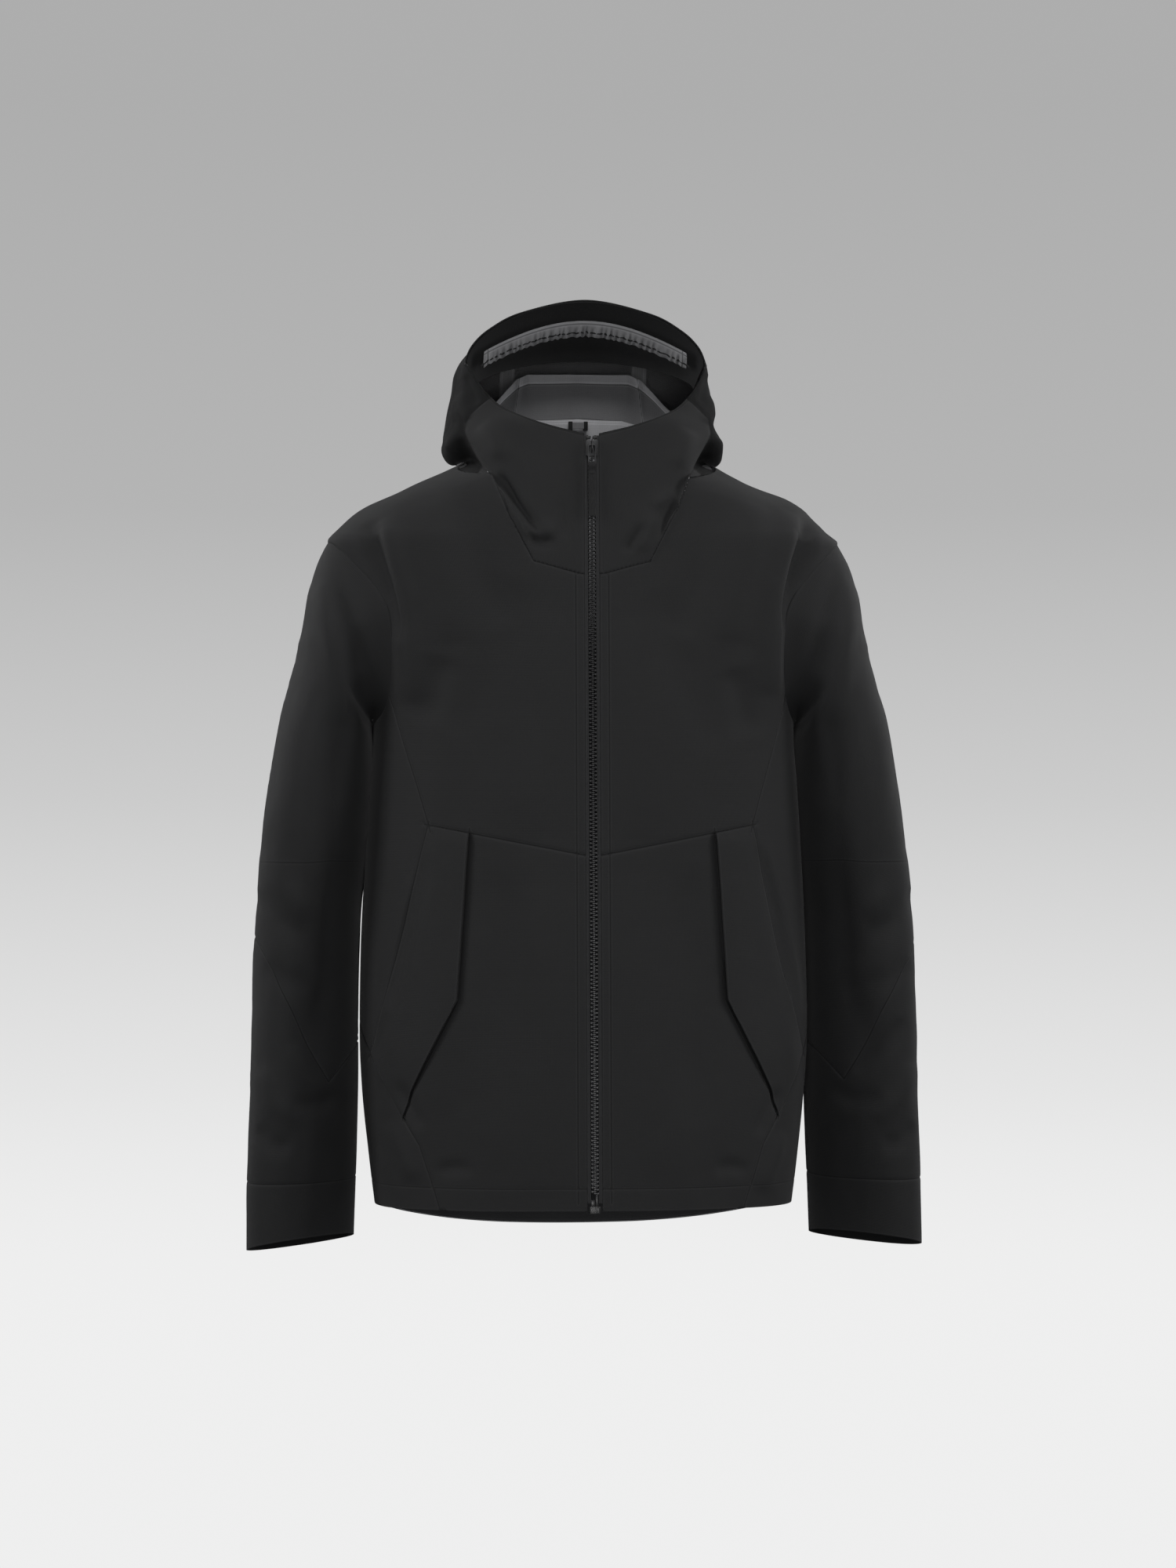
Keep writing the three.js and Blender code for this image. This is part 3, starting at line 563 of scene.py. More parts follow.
def fold(points, line, width, height, skew=1.0):
    """A ridge (or, with a negative height, a crease) along a line seen from the front.
    skew over 1 makes the side to the right of the line's direction that much steeper."""
    line = np.asarray(line, float)
    best = np.full(len(points), 1e9)
    share = np.zeros(len(points))
    sign = np.ones(len(points))
    run = run_length(line)
    place = points[:, SEEN_FROM_FRONT]
    for k, (a, b) in enumerate(zip(line[:-1], line[1:])):
        span = b - a
        t = np.clip(((place - a) @ span) / (span @ span), 0, 1)
        gap = place - (a + t[:, None] * span)
        distance = np.linalg.norm(gap, axis=1)
        nearer = distance < best
        best = np.where(nearer, distance, best)
        share = np.where(nearer, (run[k] + t * (run[k + 1] - run[k])) / run[-1], share)
        right = span[1] * gap[:, 0] - span[0] * gap[:, 1]
        sign = np.where(nearer, np.sign(right), sign)
    reach = np.where(sign > 0, width / skew, width)
    fade = 1 - (2 * share - 1) ** 4
    return height * fade * np.exp(-(best / reach) ** 2)


def add_folds(points, folds, side, rate, reach, drift=(1, 2), gain=1.0, uneven=0.0):
    """Height of the folds drawn for the wearer's left, each moved a little on each side."""
    height = 0
    for k, (line, width, depth, *skew) in enumerate(folds):
        shift = reach * math.sin(rate[0] * k + rate[1] * side)
        moved = [(side * (x + drift[0] * shift), z + drift[1] * shift) for x, z in line]
        depth *= gain * (1 + uneven * math.sin(11.0 * k + 3.0 * side))
        height = height + fold(points, moved, width, depth, *skew)
    return height


def lumps(points, layers):
    """Noise in layers of (height, size of the lumps, seed)."""
    return sum(height * noise_field(points, size, seed) for height, size, seed in layers)


# Creases and ridges on the front: x, z line on the wearer's left, width, height and skew.
TORSO_FOLDS = [
    ([(198, -98), (190, -128), (182, -152), (174, -186), (172, -205)], 7.5, -9.0),
    ([(186, -96), (176, -130), (166, -165), (160, -215), (158, -260)], 13, 4.2),
    ([(150, -84), (140, -118), (132, -160), (126, -210)], 20, 2.4, 1.3),
    ([(112, -74), (104, -110), (96, -150), (78, -200)], 16, -3.0),
    ([(60, -160), (74, -210), (96, -260), (120, -300)], 20, -1.6),
    ([(128, -230), (136, -262), (142, -290)], 13, -2.2),
    ([(30, -190), (38, -260), (44, -340), (46, -385)], 24, 1.6),
    ([(84, -410), (82, -470), (90, -560), (96, -640)], 22, -2.0),
    ([(44, -420), (40, -500), (46, -600), (50, -690)], 26, 1.8),
    ([(152, -388), (170, -452), (186, -530), (192, -560)], 4.2, 1.6, 1.6),
    ([(148, -392), (164, -452), (178, -530)], 8, -2.2),
    ([(139, -672), (122, -668), (108, -670)], 5, -2.2),
    ([(168, -600), (158, -622), (150, -640)], 5, -2.0),
    ([(176, -640), (164, -664), (154, -690)], 9, 1.8),
]
BACK_FOLDS = [
    ([(140, -180), (120, -300), (118, -420), (128, -640)], 32, 3.6),
    ([(60, -190), (54, -320), (60, -470), (70, -700)], 34, -3.2),
    ([(0, -190), (6, -350), (0, -520), (-4, -730)], 38, 2.6),
    ([(186, -215), (160, -270), (124, -350)], 18, -2.6, 1.3),
    ([(182, -380), (152, -450), (110, -530)], 24, -2.0),
    ([(130, -80), (92, -130), (40, -170)], 24, -2.2),
]


def torso_relief(points, normals, flat):
    front = points[:, 1] < 0
    height = lumps(points, [(3.2, (62, 90, 210), 1), (1.3, (34, 50, 90), 2), (0.25, (14, 14, 20), 3)])
    height *= smooth(np.abs(points[:, 0]), 8, 60) * 0.8 + 0.2
    for side in (1, -1):
        for folds, where in ((TORSO_FOLDS, front), (BACK_FOLDS, ~front)):
            height += where * add_folds(points, folds, side, (7.0, 2.0), 3.0, gain=1.35, uneven=0.22)
    return height


SLEEVE_FRONT_FOLDS = [
    ([(222, -138), (212, -170), (206, -205), (204, -240)], 9, -4.5),
    ([(240, -160), (226, -205), (214, -250), (208, -290)], 12, 3.6, 1.2),
    ([(252, -215), (236, -262), (222, -310), (214, -360)], 12, -4.0),
    ([(268, -250), (258, -330), (252, -420), (256, -470)], 13, 3.0),
    ([(203, -190), (208, -260), (216, -350), (224, -450), (228, -580)], 22, -9.0),
    ([(262, -200), (270, -300), (276, -400)], 16, 3.0),
    ([(290, -436), (272, -462), (246, -476)], 11, -2.6, 1.3),
    ([(284, -396), (268, -430), (244, -454)], 12, 2.0, 1.2),
    ([(290, -492), (268, -506), (240, -508)], 10, -2.0),
    ([(240, -505), (250, -560), (244, -620)], 12, -3.2),
    ([(214, -610), (236, -622), (262, -618)], 8, -3.0, 1.2),
    ([(288, -590), (276, -620), (252, -640)], 10, 2.4),
    ([(292, -640), (280, -655), (262, -660)], 8, -2.4),
]
LAST_SLEEVE_FOLD = {
    1: ([(282, -540), (266, -566), (240, -590)], 7, -2.6),
    -1: ([(262, -560), (250, -590), (232, -606)], 8, 2.4),
}
SLEEVE_BACK_FOLDS = [
    ([(240, -170), (222, -230), (214, -300)], 14, -5.0),
    ([(270, -270), (256, -350), (250, -430)], 16, 4.0),
    ([(296, -430), (264, -452), (222, -458)], 13, -2.6, 1.2),
    ([(298, -478), (262, -494), (220, -486)], 13, 2.0),
    ([(298, -520), (262, -538), (222, -530)], 14, -2.4, 1.2),
    ([(296, -590), (262, -610), (226, -618)], 15, -1.8),
]


def sleeve_relief(side):
    def relief(points, normals, flat):
        front = normals[:, 1] < 0
        height = lumps(points, [(2.8, (46, 60, 150), 5 + side), (1.1, (24, 34, 70), 8 + side),
                                (0.25, (9, 12, 20), 11 + side)])
        tops = SLEEVE_FRONT_FOLDS + [LAST_SLEEVE_FOLD[side]]
        for folds, where in ((tops, front), (SLEEVE_BACK_FOLDS, ~front)):
            height += where * add_folds(points, folds, side, (5.0, 3.0), 2.5)
        near_armhole = smooth(flat[:, 1], 0, 22)
        near_torso = 1 - 0.75 * smooth(-side * normals[:, 0], 0.6, 0.95)
        near_cuff = 0.35 + 0.65 * smooth(points[:, 2], -745, -690)
        return height * near_armhole * near_cuff * near_torso
    return relief


# ---------------------------------------------------------------- collar and hood
# One surface from the edge of the face opening (first row) to the neck seam (last row). Columns
# run from the zip (first) over the wearer's left to the middle of the back (last).
HOOD_NET = np.array([
    [(6.5, -98, -28), (6.5, -98.9, -43), (6.5, -99.8, -58), (6.5, -100.7, -74), (6.5, -101.6, -89),
     (6.5, -102.6, -105), (6.5, -103.5, -121), (6.5, -104.4, -136), (6.5, -105.3, -151)],
    [(36, -95, -20.5), (39, -95.5, -33), (42, -96, -47), (44.5, -97, -62), (47, -98, -78),
     (48.5, -99.5, -95), (50, -101, -112), (51, -102, -127), (51, -102.5, -140.6)],
    [(61, -87, -11.5), (71, -85.5, -18), (79, -83, -28), (82, -83, -41), (80, -85, -54),
     (76, -88.5, -68), (72, -91, -82), (69.5, -93, -96), (67.3, -94.5, -109)],
    [(81, -74, 0), (93, -68, -7), (103, -61.5, -16), (106, -59, -28), (100, -63, -41),
     (94, -68, -52), (90, -74, -60), (87, -80, -66), (84, -86, -71)],
    [(97, -60, 18.5), (103.5, -54, 8), (109, -49, -4), (112, -45, -16), (109, -35, -28),
     (103, -24, -39), (98, -20, -46), (97, -28, -50), (98, -45, -52)],
    [(106.5, -45, 36), (110.5, -36, 22), (113, -29, 8), (115.5, -23, -6), (120, -18, -19),
     (124, -14, -32), (123, -9, -45), (115, -7, -50), (104, -10, -44)],
    [(108.5, -30, 42), (111.5, -14, 34), (114, 8, 26), (117, 30, 16), (120, 46, 2),
     (124, 54, -14), (126, 48, -32), (118, 32, -44), (102, 16, -37)],
    [(102, -29, 57), (106.5, -6, 50), (110.5, 22, 46), (113.5, 48, 42), (115.5, 72, 28),
     (117, 86, 4), (117, 84, -18), (110, 62, -34), (94, 34, -28)],
    [(86, -29.5, 72), (89.5, -4, 66), (92.5, 28, 64), (94.5, 62, 64), (95.5, 92, 50),
     (97, 112, 24), (97, 112, -6), (90, 88, -25), (76, 52, -13)],
    [(57, -30, 86.8), (58.5, -3, 80), (60, 30, 79), (60.5, 70, 82), (60.5, 106, 68),
     (61, 130, 38), (62, 133, 4), (58, 108, -20), (46, 67, -4)],
    [(0, -30, 98.2), (0, -3, 90.5), (0, 30, 89), (0, 72, 92.5), (0, 112, 78),
     (0, 138, 44), (0, 141, 6), (0, 114, -18), (0, 73, 0)],
], float)
HOOD_FULL = np.concatenate([HOOD_NET, HOOD_NET[-2::-1] * (-1, 1, 1)])
HOOD_LAST = len(HOOD_FULL) - 1
HOOD_MIDDLE = HOOD_LAST / 2
HOOD_ROWS = HOOD_NET.shape[1] - 1


def running_length(points, axis):
    """Length along one axis of a net, averaged over the other."""
    steps = np.linalg.norm(np.diff(points, axis=axis), axis=2).mean(axis=1 - axis)
    return np.concatenate([[0], np.cumsum(steps)])


HOOD_AROUND = running_length(HOOD_FULL, 0)
HOOD_DOWN = running_length(HOOD_FULL, 1)


def neck_seam():
    """The neck seam of the wearer's left on the flat torso pattern, from zip to nape."""
    chin = [(ZIP_HALF_OPENING, -151.9), *CHIN_SEAM[1:]]
    front = on_torso(chin)
    rest = [(0.80, 16.2), (0.93, 16.8), (1.0, 17.05), (1.1, 17.5), (1.3, 17.9), (1.5, 18), (2, 18)]
    back = [(turn * QUARTER, section_height(section)) for turn, section in rest]
    return resample(np.concatenate([front, back]), SEAM_STEP)


NECK_FLAT = neck_seam()
NECK_3D = torso(NECK_FLAT)


def nearest_shares(line, points):
    """Shares of a line's length at its points nearest to the given ones."""
    run = run_length(line)
    return [run[np.argmin(np.linalg.norm(line - p, axis=1))] / run[-1] for p in points]


NECK_SHARES = np.maximum.accumulate(nearest_shares(NECK_3D, HOOD_NET[:, -1]))
NECK_SHARES[0], NECK_SHARES[-1] = 0, 1
HOOD_TUCK = 4.2             # how far the hood's edge goes in under the torso's edge


def hood(flat):
    column = np.interp(flat[:, 0], HOOD_AROUND, np.arange(HOOD_LAST + 1))
    row = np.interp(flat[:, 1], HOOD_DOWN, np.arange(HOOD_ROWS + 1))
    points = spline(np.swapaxes(spline(HOOD_FULL, column), 0, 1), row, line_each=True)
    half = np.minimum(column, HOOD_LAST - column)
    seam = along(NECK_3D, np.interp(half, np.arange(len(NECK_SHARES)), NECK_SHARES))
    seam[:, 0] *= np.where(column > HOOD_MIDDLE, -1, 1)
    netted = spline(HOOD_FULL[:, -1], column)
    points = points + (seam - netted) * smooth(row, HOOD_ROWS - 2.5, HOOD_ROWS)[:, None]
    tuck = smooth(row, HOOD_ROWS - 0.5, HOOD_ROWS)[:, None]
    tuck = tuck * smooth(points[:, 1], -62, -40)[:, None]
    inward = np.stack([-np.sign(points[:, 0]) * smooth(np.abs(points[:, 0]), 20, 60),
                       0 * points[:, 0], np.full(len(points), -0.9)], axis=-1)
    return points + HOOD_TUCK * tuck * inward


def hood_flat(column, row):
    """Flat place of a net position."""
    u = np.interp(column, np.arange(HOOD_LAST + 1), HOOD_AROUND)
    v = np.interp(row, np.arange(HOOD_ROWS + 1), HOOD_DOWN)
    return np.stack(np.broadcast_arrays(u, v), axis=-1)


# Creases of the two chin panels, then of the hood's sides and back, as seen from the front.
CHIN_FOLD_GAIN = 1.5
CHIN_FOLDS = [
    ([(-80, -62), (-66, -88), (-52, -108), (-44, -118)], 3.6, -3.4, 1.4),
    ([(-86, -74), (-70, -100), (-58, -120)], 6, 1.8),
    ([(-56, -120), (-46, -124), (-34, -124)], 4.2, -3.0),
    ([(-60, -112), (-44, -114), (-30, -112)], 6, 1.6),
    ([(-26, -88), (-24, -106), (-25, -122)], 3.0, -1.0, 1.6),
    ([(-96, -18), (-84, -34), (-78, -50)], 9, 1.5),
    ([(86, -86), (74, -92), (66, -104), (62, -120)], 4.6, -2.8, 1.2),
    ([(78, -80), (66, -84), (54, -92)], 6, 2.0),
    ([(46, -108), (36, -122), (30, -132)], 4.2, -2.4),
    ([(58, -98), (48, -116), (42, -132)], 6, 1.6),
    ([(90, -22), (84, -42), (76, -56)], 9, 1.5),
]
HOOD_SIDE_FOLDS = [
    ([(110, 30), (106, 14), (100, 2)], 5, -2.6, 1.2),
    ([(116, 12), (112, -4), (106, -14)], 6, 2.4),
    ([(119, -4), (118, -16), (112, -24)], 5, -2.2),
    ([(124, -26), (120, -36), (112, -44)], 4.5, 2.2, 1.2),
]
HOOD_BACK_FOLDS = [
    ([(104, 40), (96, 0), (84, -30)], 12, -4.0),
    ([(70, 60), (66, 20), (50, -20)], 14, 2.6),
    ([(40, 20), (10, 4), (-30, 12)], 11, -3.6, 1.2),
    ([(60, -4), (20, -16), (-40, -10)], 9, 3.6),
]


def hood_relief(points, normals, flat):
    front = (points[:, 1] < -8) & (points[:, 2] < 45)
    rear = points[:, 1] > 15
    side = (points[:, 1] < 30) & (np.abs(points[:, 0]) > 88)
    height = 1.2 * noise_field(points, (40, 46, 46), 21)
    height += 0.8 * noise_field(points, (18, 20, 20), 22) * smooth(points[:, 1], -60, 20)
    for line, width, depth, *skew in CHIN_FOLDS:
        height += front * fold(points, line, width, CHIN_FOLD_GAIN * depth, *skew)
    for sign in (1, -1):
        for folds, where in ((HOOD_SIDE_FOLDS, side), (HOOD_BACK_FOLDS, rear)):
            height += where * add_folds(points, folds, sign, (4.0, 2.0), 2.0, drift=(0, 1))
    down = np.interp(flat[:, 1], HOOD_DOWN, np.arange(HOOD_ROWS + 1))
    height *= smooth(down, -0.1, 0.8) * smooth(HOOD_ROWS - down, -0.1, 0.9)
    return height


# ---------------------------------------------------------------- materials
def new_material(name, color, roughness, metallic=0.0):
    material = bpy.data.materials.new(name)
    material.use_nodes = True
    shader = material.node_tree.nodes["Principled BSDF"]
    shader.inputs["Base Color"].default_value = (*color, 1)
    shader.inputs["Roughness"].default_value = roughness
    shader.inputs["Metallic"].default_value = metallic
    return material, shader


class Nodes:
    """Short names for adding shader nodes to a material."""

    def __init__(self, material):
        self.tree = material.node_tree

    def add(self, kind, **inputs):
        node = self.tree.nodes.new(kind)
        for name, value in inputs.items():
            if name in ("attribute_name", "uv_map"):
                setattr(node, name, value)
            else:
                self.put(node.inputs[name.replace("_", " ")], value)
        return node

    def put(self, socket, value):
        if isinstance(value, bpy.types.NodeSocket):
            self.tree.links.new(value, socket)
        else:
            socket.default_value = value

    def math(self, operation, a, b=0.0, c=0.0):
        node = self.tree.nodes.new("ShaderNodeMath")
        node.operation = operation
        for socket, value in zip(node.inputs, (a, b, c)):
            self.put(socket, value)
        return node.outputs[0]

    def split(self, vector):
        return self.add("ShaderNodeSeparateXYZ", Vector=vector).outputs

    def ramp(self, value, stops):
        node = self.tree.nodes.new("ShaderNodeValToRGB")
        while len(node.color_ramp.elements) < len(stops):
            node.color_ramp.elements.new(0.5)
        for element, (place, shade) in zip(node.color_ramp.elements, stops):
            element.position = place
            element.color = (shade, shade, shade, 1)
        self.put(node.inputs[0], value)
        return node.outputs[0]

    def mix_color(self, share, a, b, blend="MIX"):
        node = self.tree.nodes.new("ShaderNodeMix")
        node.data_type = "RGBA"
        node.blend_type = blend
        self.put(node.inputs[0], share)
        self.put(node.inputs[6], a)
        self.put(node.inputs[7], b)
        return node.outputs[2]

    def noise(self, place, scale, detail=3.0):
        node = self.add("ShaderNodeTexNoise", Vector=place, Scale=scale, Detail=detail)
        return node.outputs[0]

    def waves(self, place, axis, pitch):
        """Bands across an axis, pitch in metres."""
        node = self.tree.nodes.new("ShaderNodeTexWave")
        node.bands_direction = axis
        self.put(node.inputs["Vector"], place)
        node.inputs["Scale"].default_value = 2 * math.pi / (20 * pitch)
        return node.outputs["Fac"]


def grey(value):
    return (value, value, value * 1.03, 1)


def woven(name, shade, pitch, roughness, bump, sheen, cut=True, painted_gap_shadow=0.0):
    """Cloth: a plain weave, uneven colour, painted shade along its seams with a painted highlight just
    beside them, and a soft sheen.
    cut: made from a flat pattern, so it has pattern coordinates and seams.
    The last argument: half width in metres of a band at x 0 painted dark, as painted shadow in the gap
    between the zip's rows of teeth."""
    material, shader = new_material(name, (shade,) * 3, roughness)
    n = Nodes(material)
    if cut:
        place = n.add("ShaderNodeUVMap", uv_map="pattern").outputs[0]
    else:
        place = n.add("ShaderNodeTexCoord").outputs["Object"]
    body = n.add("ShaderNodeTexCoord").outputs["Object"]
    warp = n.waves(place, "X", pitch)
    weft = n.waves(place, "Y", pitch * 1.1)
    weave = n.math("MULTIPLY", n.math("ADD", warp, weft), 0.5)
    mottle = n.noise(body, 38.0, 5.0)
    fibres = n.noise(body, 900.0, 2.0)
    light = n.math("ADD", n.math("MULTIPLY", mottle, 0.55), n.math("MULTIPLY", fibres, 0.35))
    light = n.math("ADD", light, n.math("MULTIPLY", weave, 0.25))
    color = n.mix_color(light, grey(shade * 0.72), grey(shade * 1.30))
    # Painted shade and highlight: the colour is darkened right at seams and stitching, as painted shade in
    # their grooves, and made paler about a millimetre off them, as a painted highlight on the seam's edge.
    if cut:
        gap = n.add("ShaderNodeAttribute", attribute_name="seam_distance").outputs["Fac"]
        edge = n.ramp(n.math("DIVIDE", gap, 4.0), [(0.0, 0.30), (0.12, 0.55), (0.26, 1.0),
                                                   (0.36, 0.82), (0.6, 0.72)])
        color = n.mix_color(1.0, color, n.math("MULTIPLY", edge, 1.38), "MULTIPLY")
    # Painted shadow: a dark band down the middle stands for the shade in the gap between the rows of teeth.
    if painted_gap_shadow:
        away = n.math("ABSOLUTE", n.split(body)[0])
        share = n.math("GREATER_THAN", away, painted_gap_shadow)
        color = n.mix_color(share, grey(shade * 0.10), color)
    n.put(shader.inputs["Base Color"], color)
    rough = n.math("ADD", roughness - 0.08, n.math("MULTIPLY", mottle, 0.16))
    n.put(shader.inputs["Roughness"], rough)
    shader.inputs["Specular IOR Level"].default_value = 0.3
    shader.inputs["Sheen Weight"].default_value = sheen
    shader.inputs["Sheen Roughness"].default_value = 0.45
    height = n.math("ADD", n.math("MULTIPLY", weave, 0.6), n.math("MULTIPLY", fibres, 0.4))
    relief = n.add("ShaderNodeBump", Strength=bump, Distance=0.0004, Height=height)
    n.put(shader.inputs["Normal"], relief.outputs[0])
    return material


def moulded(name, shade, roughness, metallic=0.0):
    """Moulded plastic or metal with a fine grain and paler high spots, a painted highlight on its edges."""
    material, shader = new_material(name, (shade,) * 3, roughness, metallic)
    n = Nodes(material)
    body = n.add("ShaderNodeTexCoord").outputs["Object"]
    fine = n.noise(body, 260.0, 4.0)
    broad = n.noise(body, 60.0, 2.0)
    # Painted highlight: sharp edges and high spots are painted paler.
    pointiness_highlight = n.add("ShaderNodeNewGeometry").outputs["Pointiness"]
    edge = n.ramp(pointiness_highlight, [(0.50, 0.0), (0.62, 1.0)])
    base = n.mix_color(n.math("MULTIPLY", n.math("ADD", fine, broad), 0.5),
                       grey(shade * 0.8), grey(shade * 1.25))
    n.put(shader.inputs["Base Color"], n.mix_color(n.math("MULTIPLY", edge, 0.35), base,
                                                   grey(min(1.0, shade * 2.2))))
    n.put(shader.inputs["Roughness"], n.math("ADD", roughness - 0.1, n.math("MULTIPLY", fine, 0.2)))
    relief = n.add("ShaderNodeBump", Strength=0.25, Distance=0.0002, Height=fine)
    n.put(shader.inputs["Normal"], relief.outputs[0])
    return material


SHELL = woven("shell_fabric", 0.021, 0.0009, 0.72, 0.35, 0.10)
BACKER = woven("grey_backer", 0.38, 0.0011, 0.78, 0.45, 0.15)
# Pale grey backer. On the collar's top band it is painted light: a brighter copy of the collar's fabric
# where its fold faces up.
PALE_BACKER_AND_PAINTED_LIGHT = woven("pale_backer_and_painted_light", 0.62, 0.0011, 0.78, 0.45, 0.15)
COLLAR = woven("collar_backer", 0.25, 0.0011, 0.78, 0.45, 0.15)
GATHERED = woven("gathered_tricot", 0.21, 0.0008, 0.7, 0.5, 0.2)
FACING = woven("black_facing", 0.016, 0.0010, 0.8, 0.35, 0.06)
# The tape's dark middle band is painted shadow in the gap between the rows of teeth.
ZIP_TAPE = woven("zip_tape_weave", 0.055, 0.0012, 0.7, 0.6, 0.08, cut=False, painted_gap_shadow=0.0036)
WEBBING = woven("webbing", 0.014, 0.0010, 0.62, 0.9, 0.05, cut=False)
TEETH = moulded("moulded_teeth", 0.016, 0.30)
METAL = moulded("dark_metal", 0.045, 0.34, 0.7)
# The hem's facing is black; it is painted paler than FACING, as painted light, to make up for the shade
# inside the hem.
HEM_FACING_PAINTED_LIGHT = woven("hem_facing", 0.075, 0.0010, 0.8, 0.35, 0.06)


# ---------------------------------------------------------------- small solid pieces
def finish_mesh(bm, name, material, matrix=Matrix.Identity(4)):
    """A smooth-shaded object from a bmesh in millimetres."""
    bm.transform(Matrix.Scale(MM, 4) @ matrix)
    mesh = bpy.data.meshes.new(name)
    bmesh.ops.recalc_face_normals(bm, faces=bm.faces)
    bm.to_mesh(mesh)
    bm.free()
    mesh.materials.append(material)
    mesh.polygons.foreach_set("use_smooth", [True] * len(mesh.polygons))
    mesh.set_sharp_from_angle(angle=math.radians(42))
    return add_object(name, mesh)


def plate(bm, outline, low, high, radius=0.3, segments=2):
    """An outline in x and z, as thick as low to high in y, with rounded edges."""
    front = [bm.verts.new((x, low, z)) for x, z in outline]
    back = [bm.verts.new((x, high, z)) for x, z in outline]
    count = len(outline)
    faces = [bm.faces.new(front), bm.faces.new(back[::-1])]
    for i in range(count):
        j = (i + 1) % count
        faces.append(bm.faces.new((front[i], front[j], back[j], back[i])))
    edges = list({e for f in faces for e in f.edges})
    bmesh.ops.recalc_face_normals(bm, faces=faces)
    bmesh.ops.bevel(bm, geom=edges, offset=radius, segments=segments, affect="EDGES",
                    profile=0.6, clamp_overlap=True)


def block(bm, low, high, radius=0.3, segments=2):
    outline = [(low[0], low[2]), (high[0], low[2]), (high[0], high[2]), (low[0], high[2])]
    plate(bm, outline, low[1], high[1], radius, segments)


def skin(bm, rings, closed=False):
    """Walls between rings of the same count, and caps unless the last joins the first."""
    for near, far in zip(rings, rings[1:] + rings[:1] if closed else rings[1:]):
        for j in range(len(near)):
            k = (j + 1) % len(near)
            bm.faces.new((near[j], near[k], far[k], far[j]))
    if not closed:
        bm.faces.new(rings[0][::-1])
        bm.faces.new(rings[-1])


def sweep(bm, path, section, closed=False, up=(0, 1, 0)):
    """A section (across, up) carried along a path."""
    path = [Vector(p) for p in path]
    count = len(path)
    rings = []
    for i, p in enumerate(path):
        before = path[i - 1] if i or closed else p
        after = path[(i + 1) % count] if i < count - 1 or closed else p
        ahead = (after - before).normalized()
        across = ahead.cross(Vector(up)).normalized()
        lift = across.cross(ahead)
        rings.append([bm.verts.new(p + across * a + lift * b) for a, b in section])
    skin(bm, rings, closed)


def circle(radius, count=12):
    return [(radius * math.cos(a), radius * math.sin(a))
            for a in np.arange(count) * 2 * math.pi / count]


def rounded_ring(half_width, low, high, y, corner, count=6):
    """A rounded rectangle in x and z at one y."""
    points = []
    for cx, cz, start in ((1, 1, 0), (-1, 1, 90), (-1, -1, 180), (1, -1, 270)):
        x = cx * (half_width - corner)
        z = high - corner if cz > 0 else low + corner
        for k in range(count):
            a = math.radians(start + 90 * k / (count - 1))
            points.append((x + corner * math.cos(a), y, z + corner * math.sin(a)))
    return points


ZIP_FRAME = Matrix.Translation(ZIP_TOP) @ Matrix.Rotation(-ZIP_LEAN, 4, "X")


def tooth_mesh():
    """One moulded tooth of the wearer's left row, clamped on the tape's core."""
    bm = bmesh.new()
    half = [(3.2, -0.95), (2.3, -1.0), (1.7, -0.55), (1.1, -0.5), (0.5, -0.75), (-0.7, -0.65),
            (-1.2, -0.25)]
    outline = half + [(x, -z) for x, z in reversed(half)]
    plate(bm, outline, -0.9, 2.3, 0.28, 1)
    bm.verts.ensure_lookup_table()
    verts = np.array([v.co[:] for v in bm.verts])
    faces = [[v.index for v in f.verts] for f in bm.faces]
    bm.free()
    return verts, faces


TOOTH_PITCH = 3.4
CHAIN_TOP = -22.0
CHAIN_BOTTOM = -ZIP_LENGTH + 14


def zip_chain(side_name, side):
    verts, faces = tooth_mesh()
    first = CHAIN_TOP - (TOOTH_PITCH / 2 if side < 0 else 0)
    heights = np.arange(first, CHAIN_BOTTOM, -TOOTH_PITCH)
    faces = [face[::side] for face in faces]
    mesh = bpy.data.meshes.new("teeth")
    mesh.from_pydata(np.concatenate([verts * (side, 1, 1) + (0, 0, z) for z in heights]), [],
                     [[i * len(verts) + v for v in face] for i in range(len(heights)) for face in faces])
    bm = bmesh.new()
    bm.from_mesh(mesh)
    bpy.data.meshes.remove(mesh)
    piece = finish_mesh(bm, f"zip_teeth_{side_name}", TEETH, ZIP_FRAME)
    attach(piece, "shell", "moulded_teeth", f"zip_chain_{side_name}")


def zip_tape(side_name, side):
    """Woven tape with a thicker core cord along its inner edge."""
    bm = bmesh.new()
    xs = [2.6, 3.0, 3.6, 4.4, 5.2, 6.0, 7.4, 9.0, 11.0]
    lift = [0.0, -0.5, -0.75, -0.5, 0.0, -0.1, 0.0, 0.05, 0.1]
    front = [(x, 1.9 + y) for x, y in zip(xs, lift)]
    back = [(x, 2.9) for x in reversed(xs)]
    section = [(side * x, y) for x, y in front + back]
    heights = np.linspace(-ZIP_LENGTH + 6, -1.5, 60)
    rings = []
    for z in heights:
        wave = 0.12 * math.sin(z * 0.21) + 0.08 * math.sin(z * 0.53)
        rings.append([bm.verts.new((x, y + wave, z)) for x, y in section])
    skin(bm, rings)
    piece = finish_mesh(bm, f"zip_tape_cloth_{side_name}", ZIP_TAPE, ZIP_FRAME)
    attach(piece, "shell", "zip_tape", f"zip_tape_{side_name}")


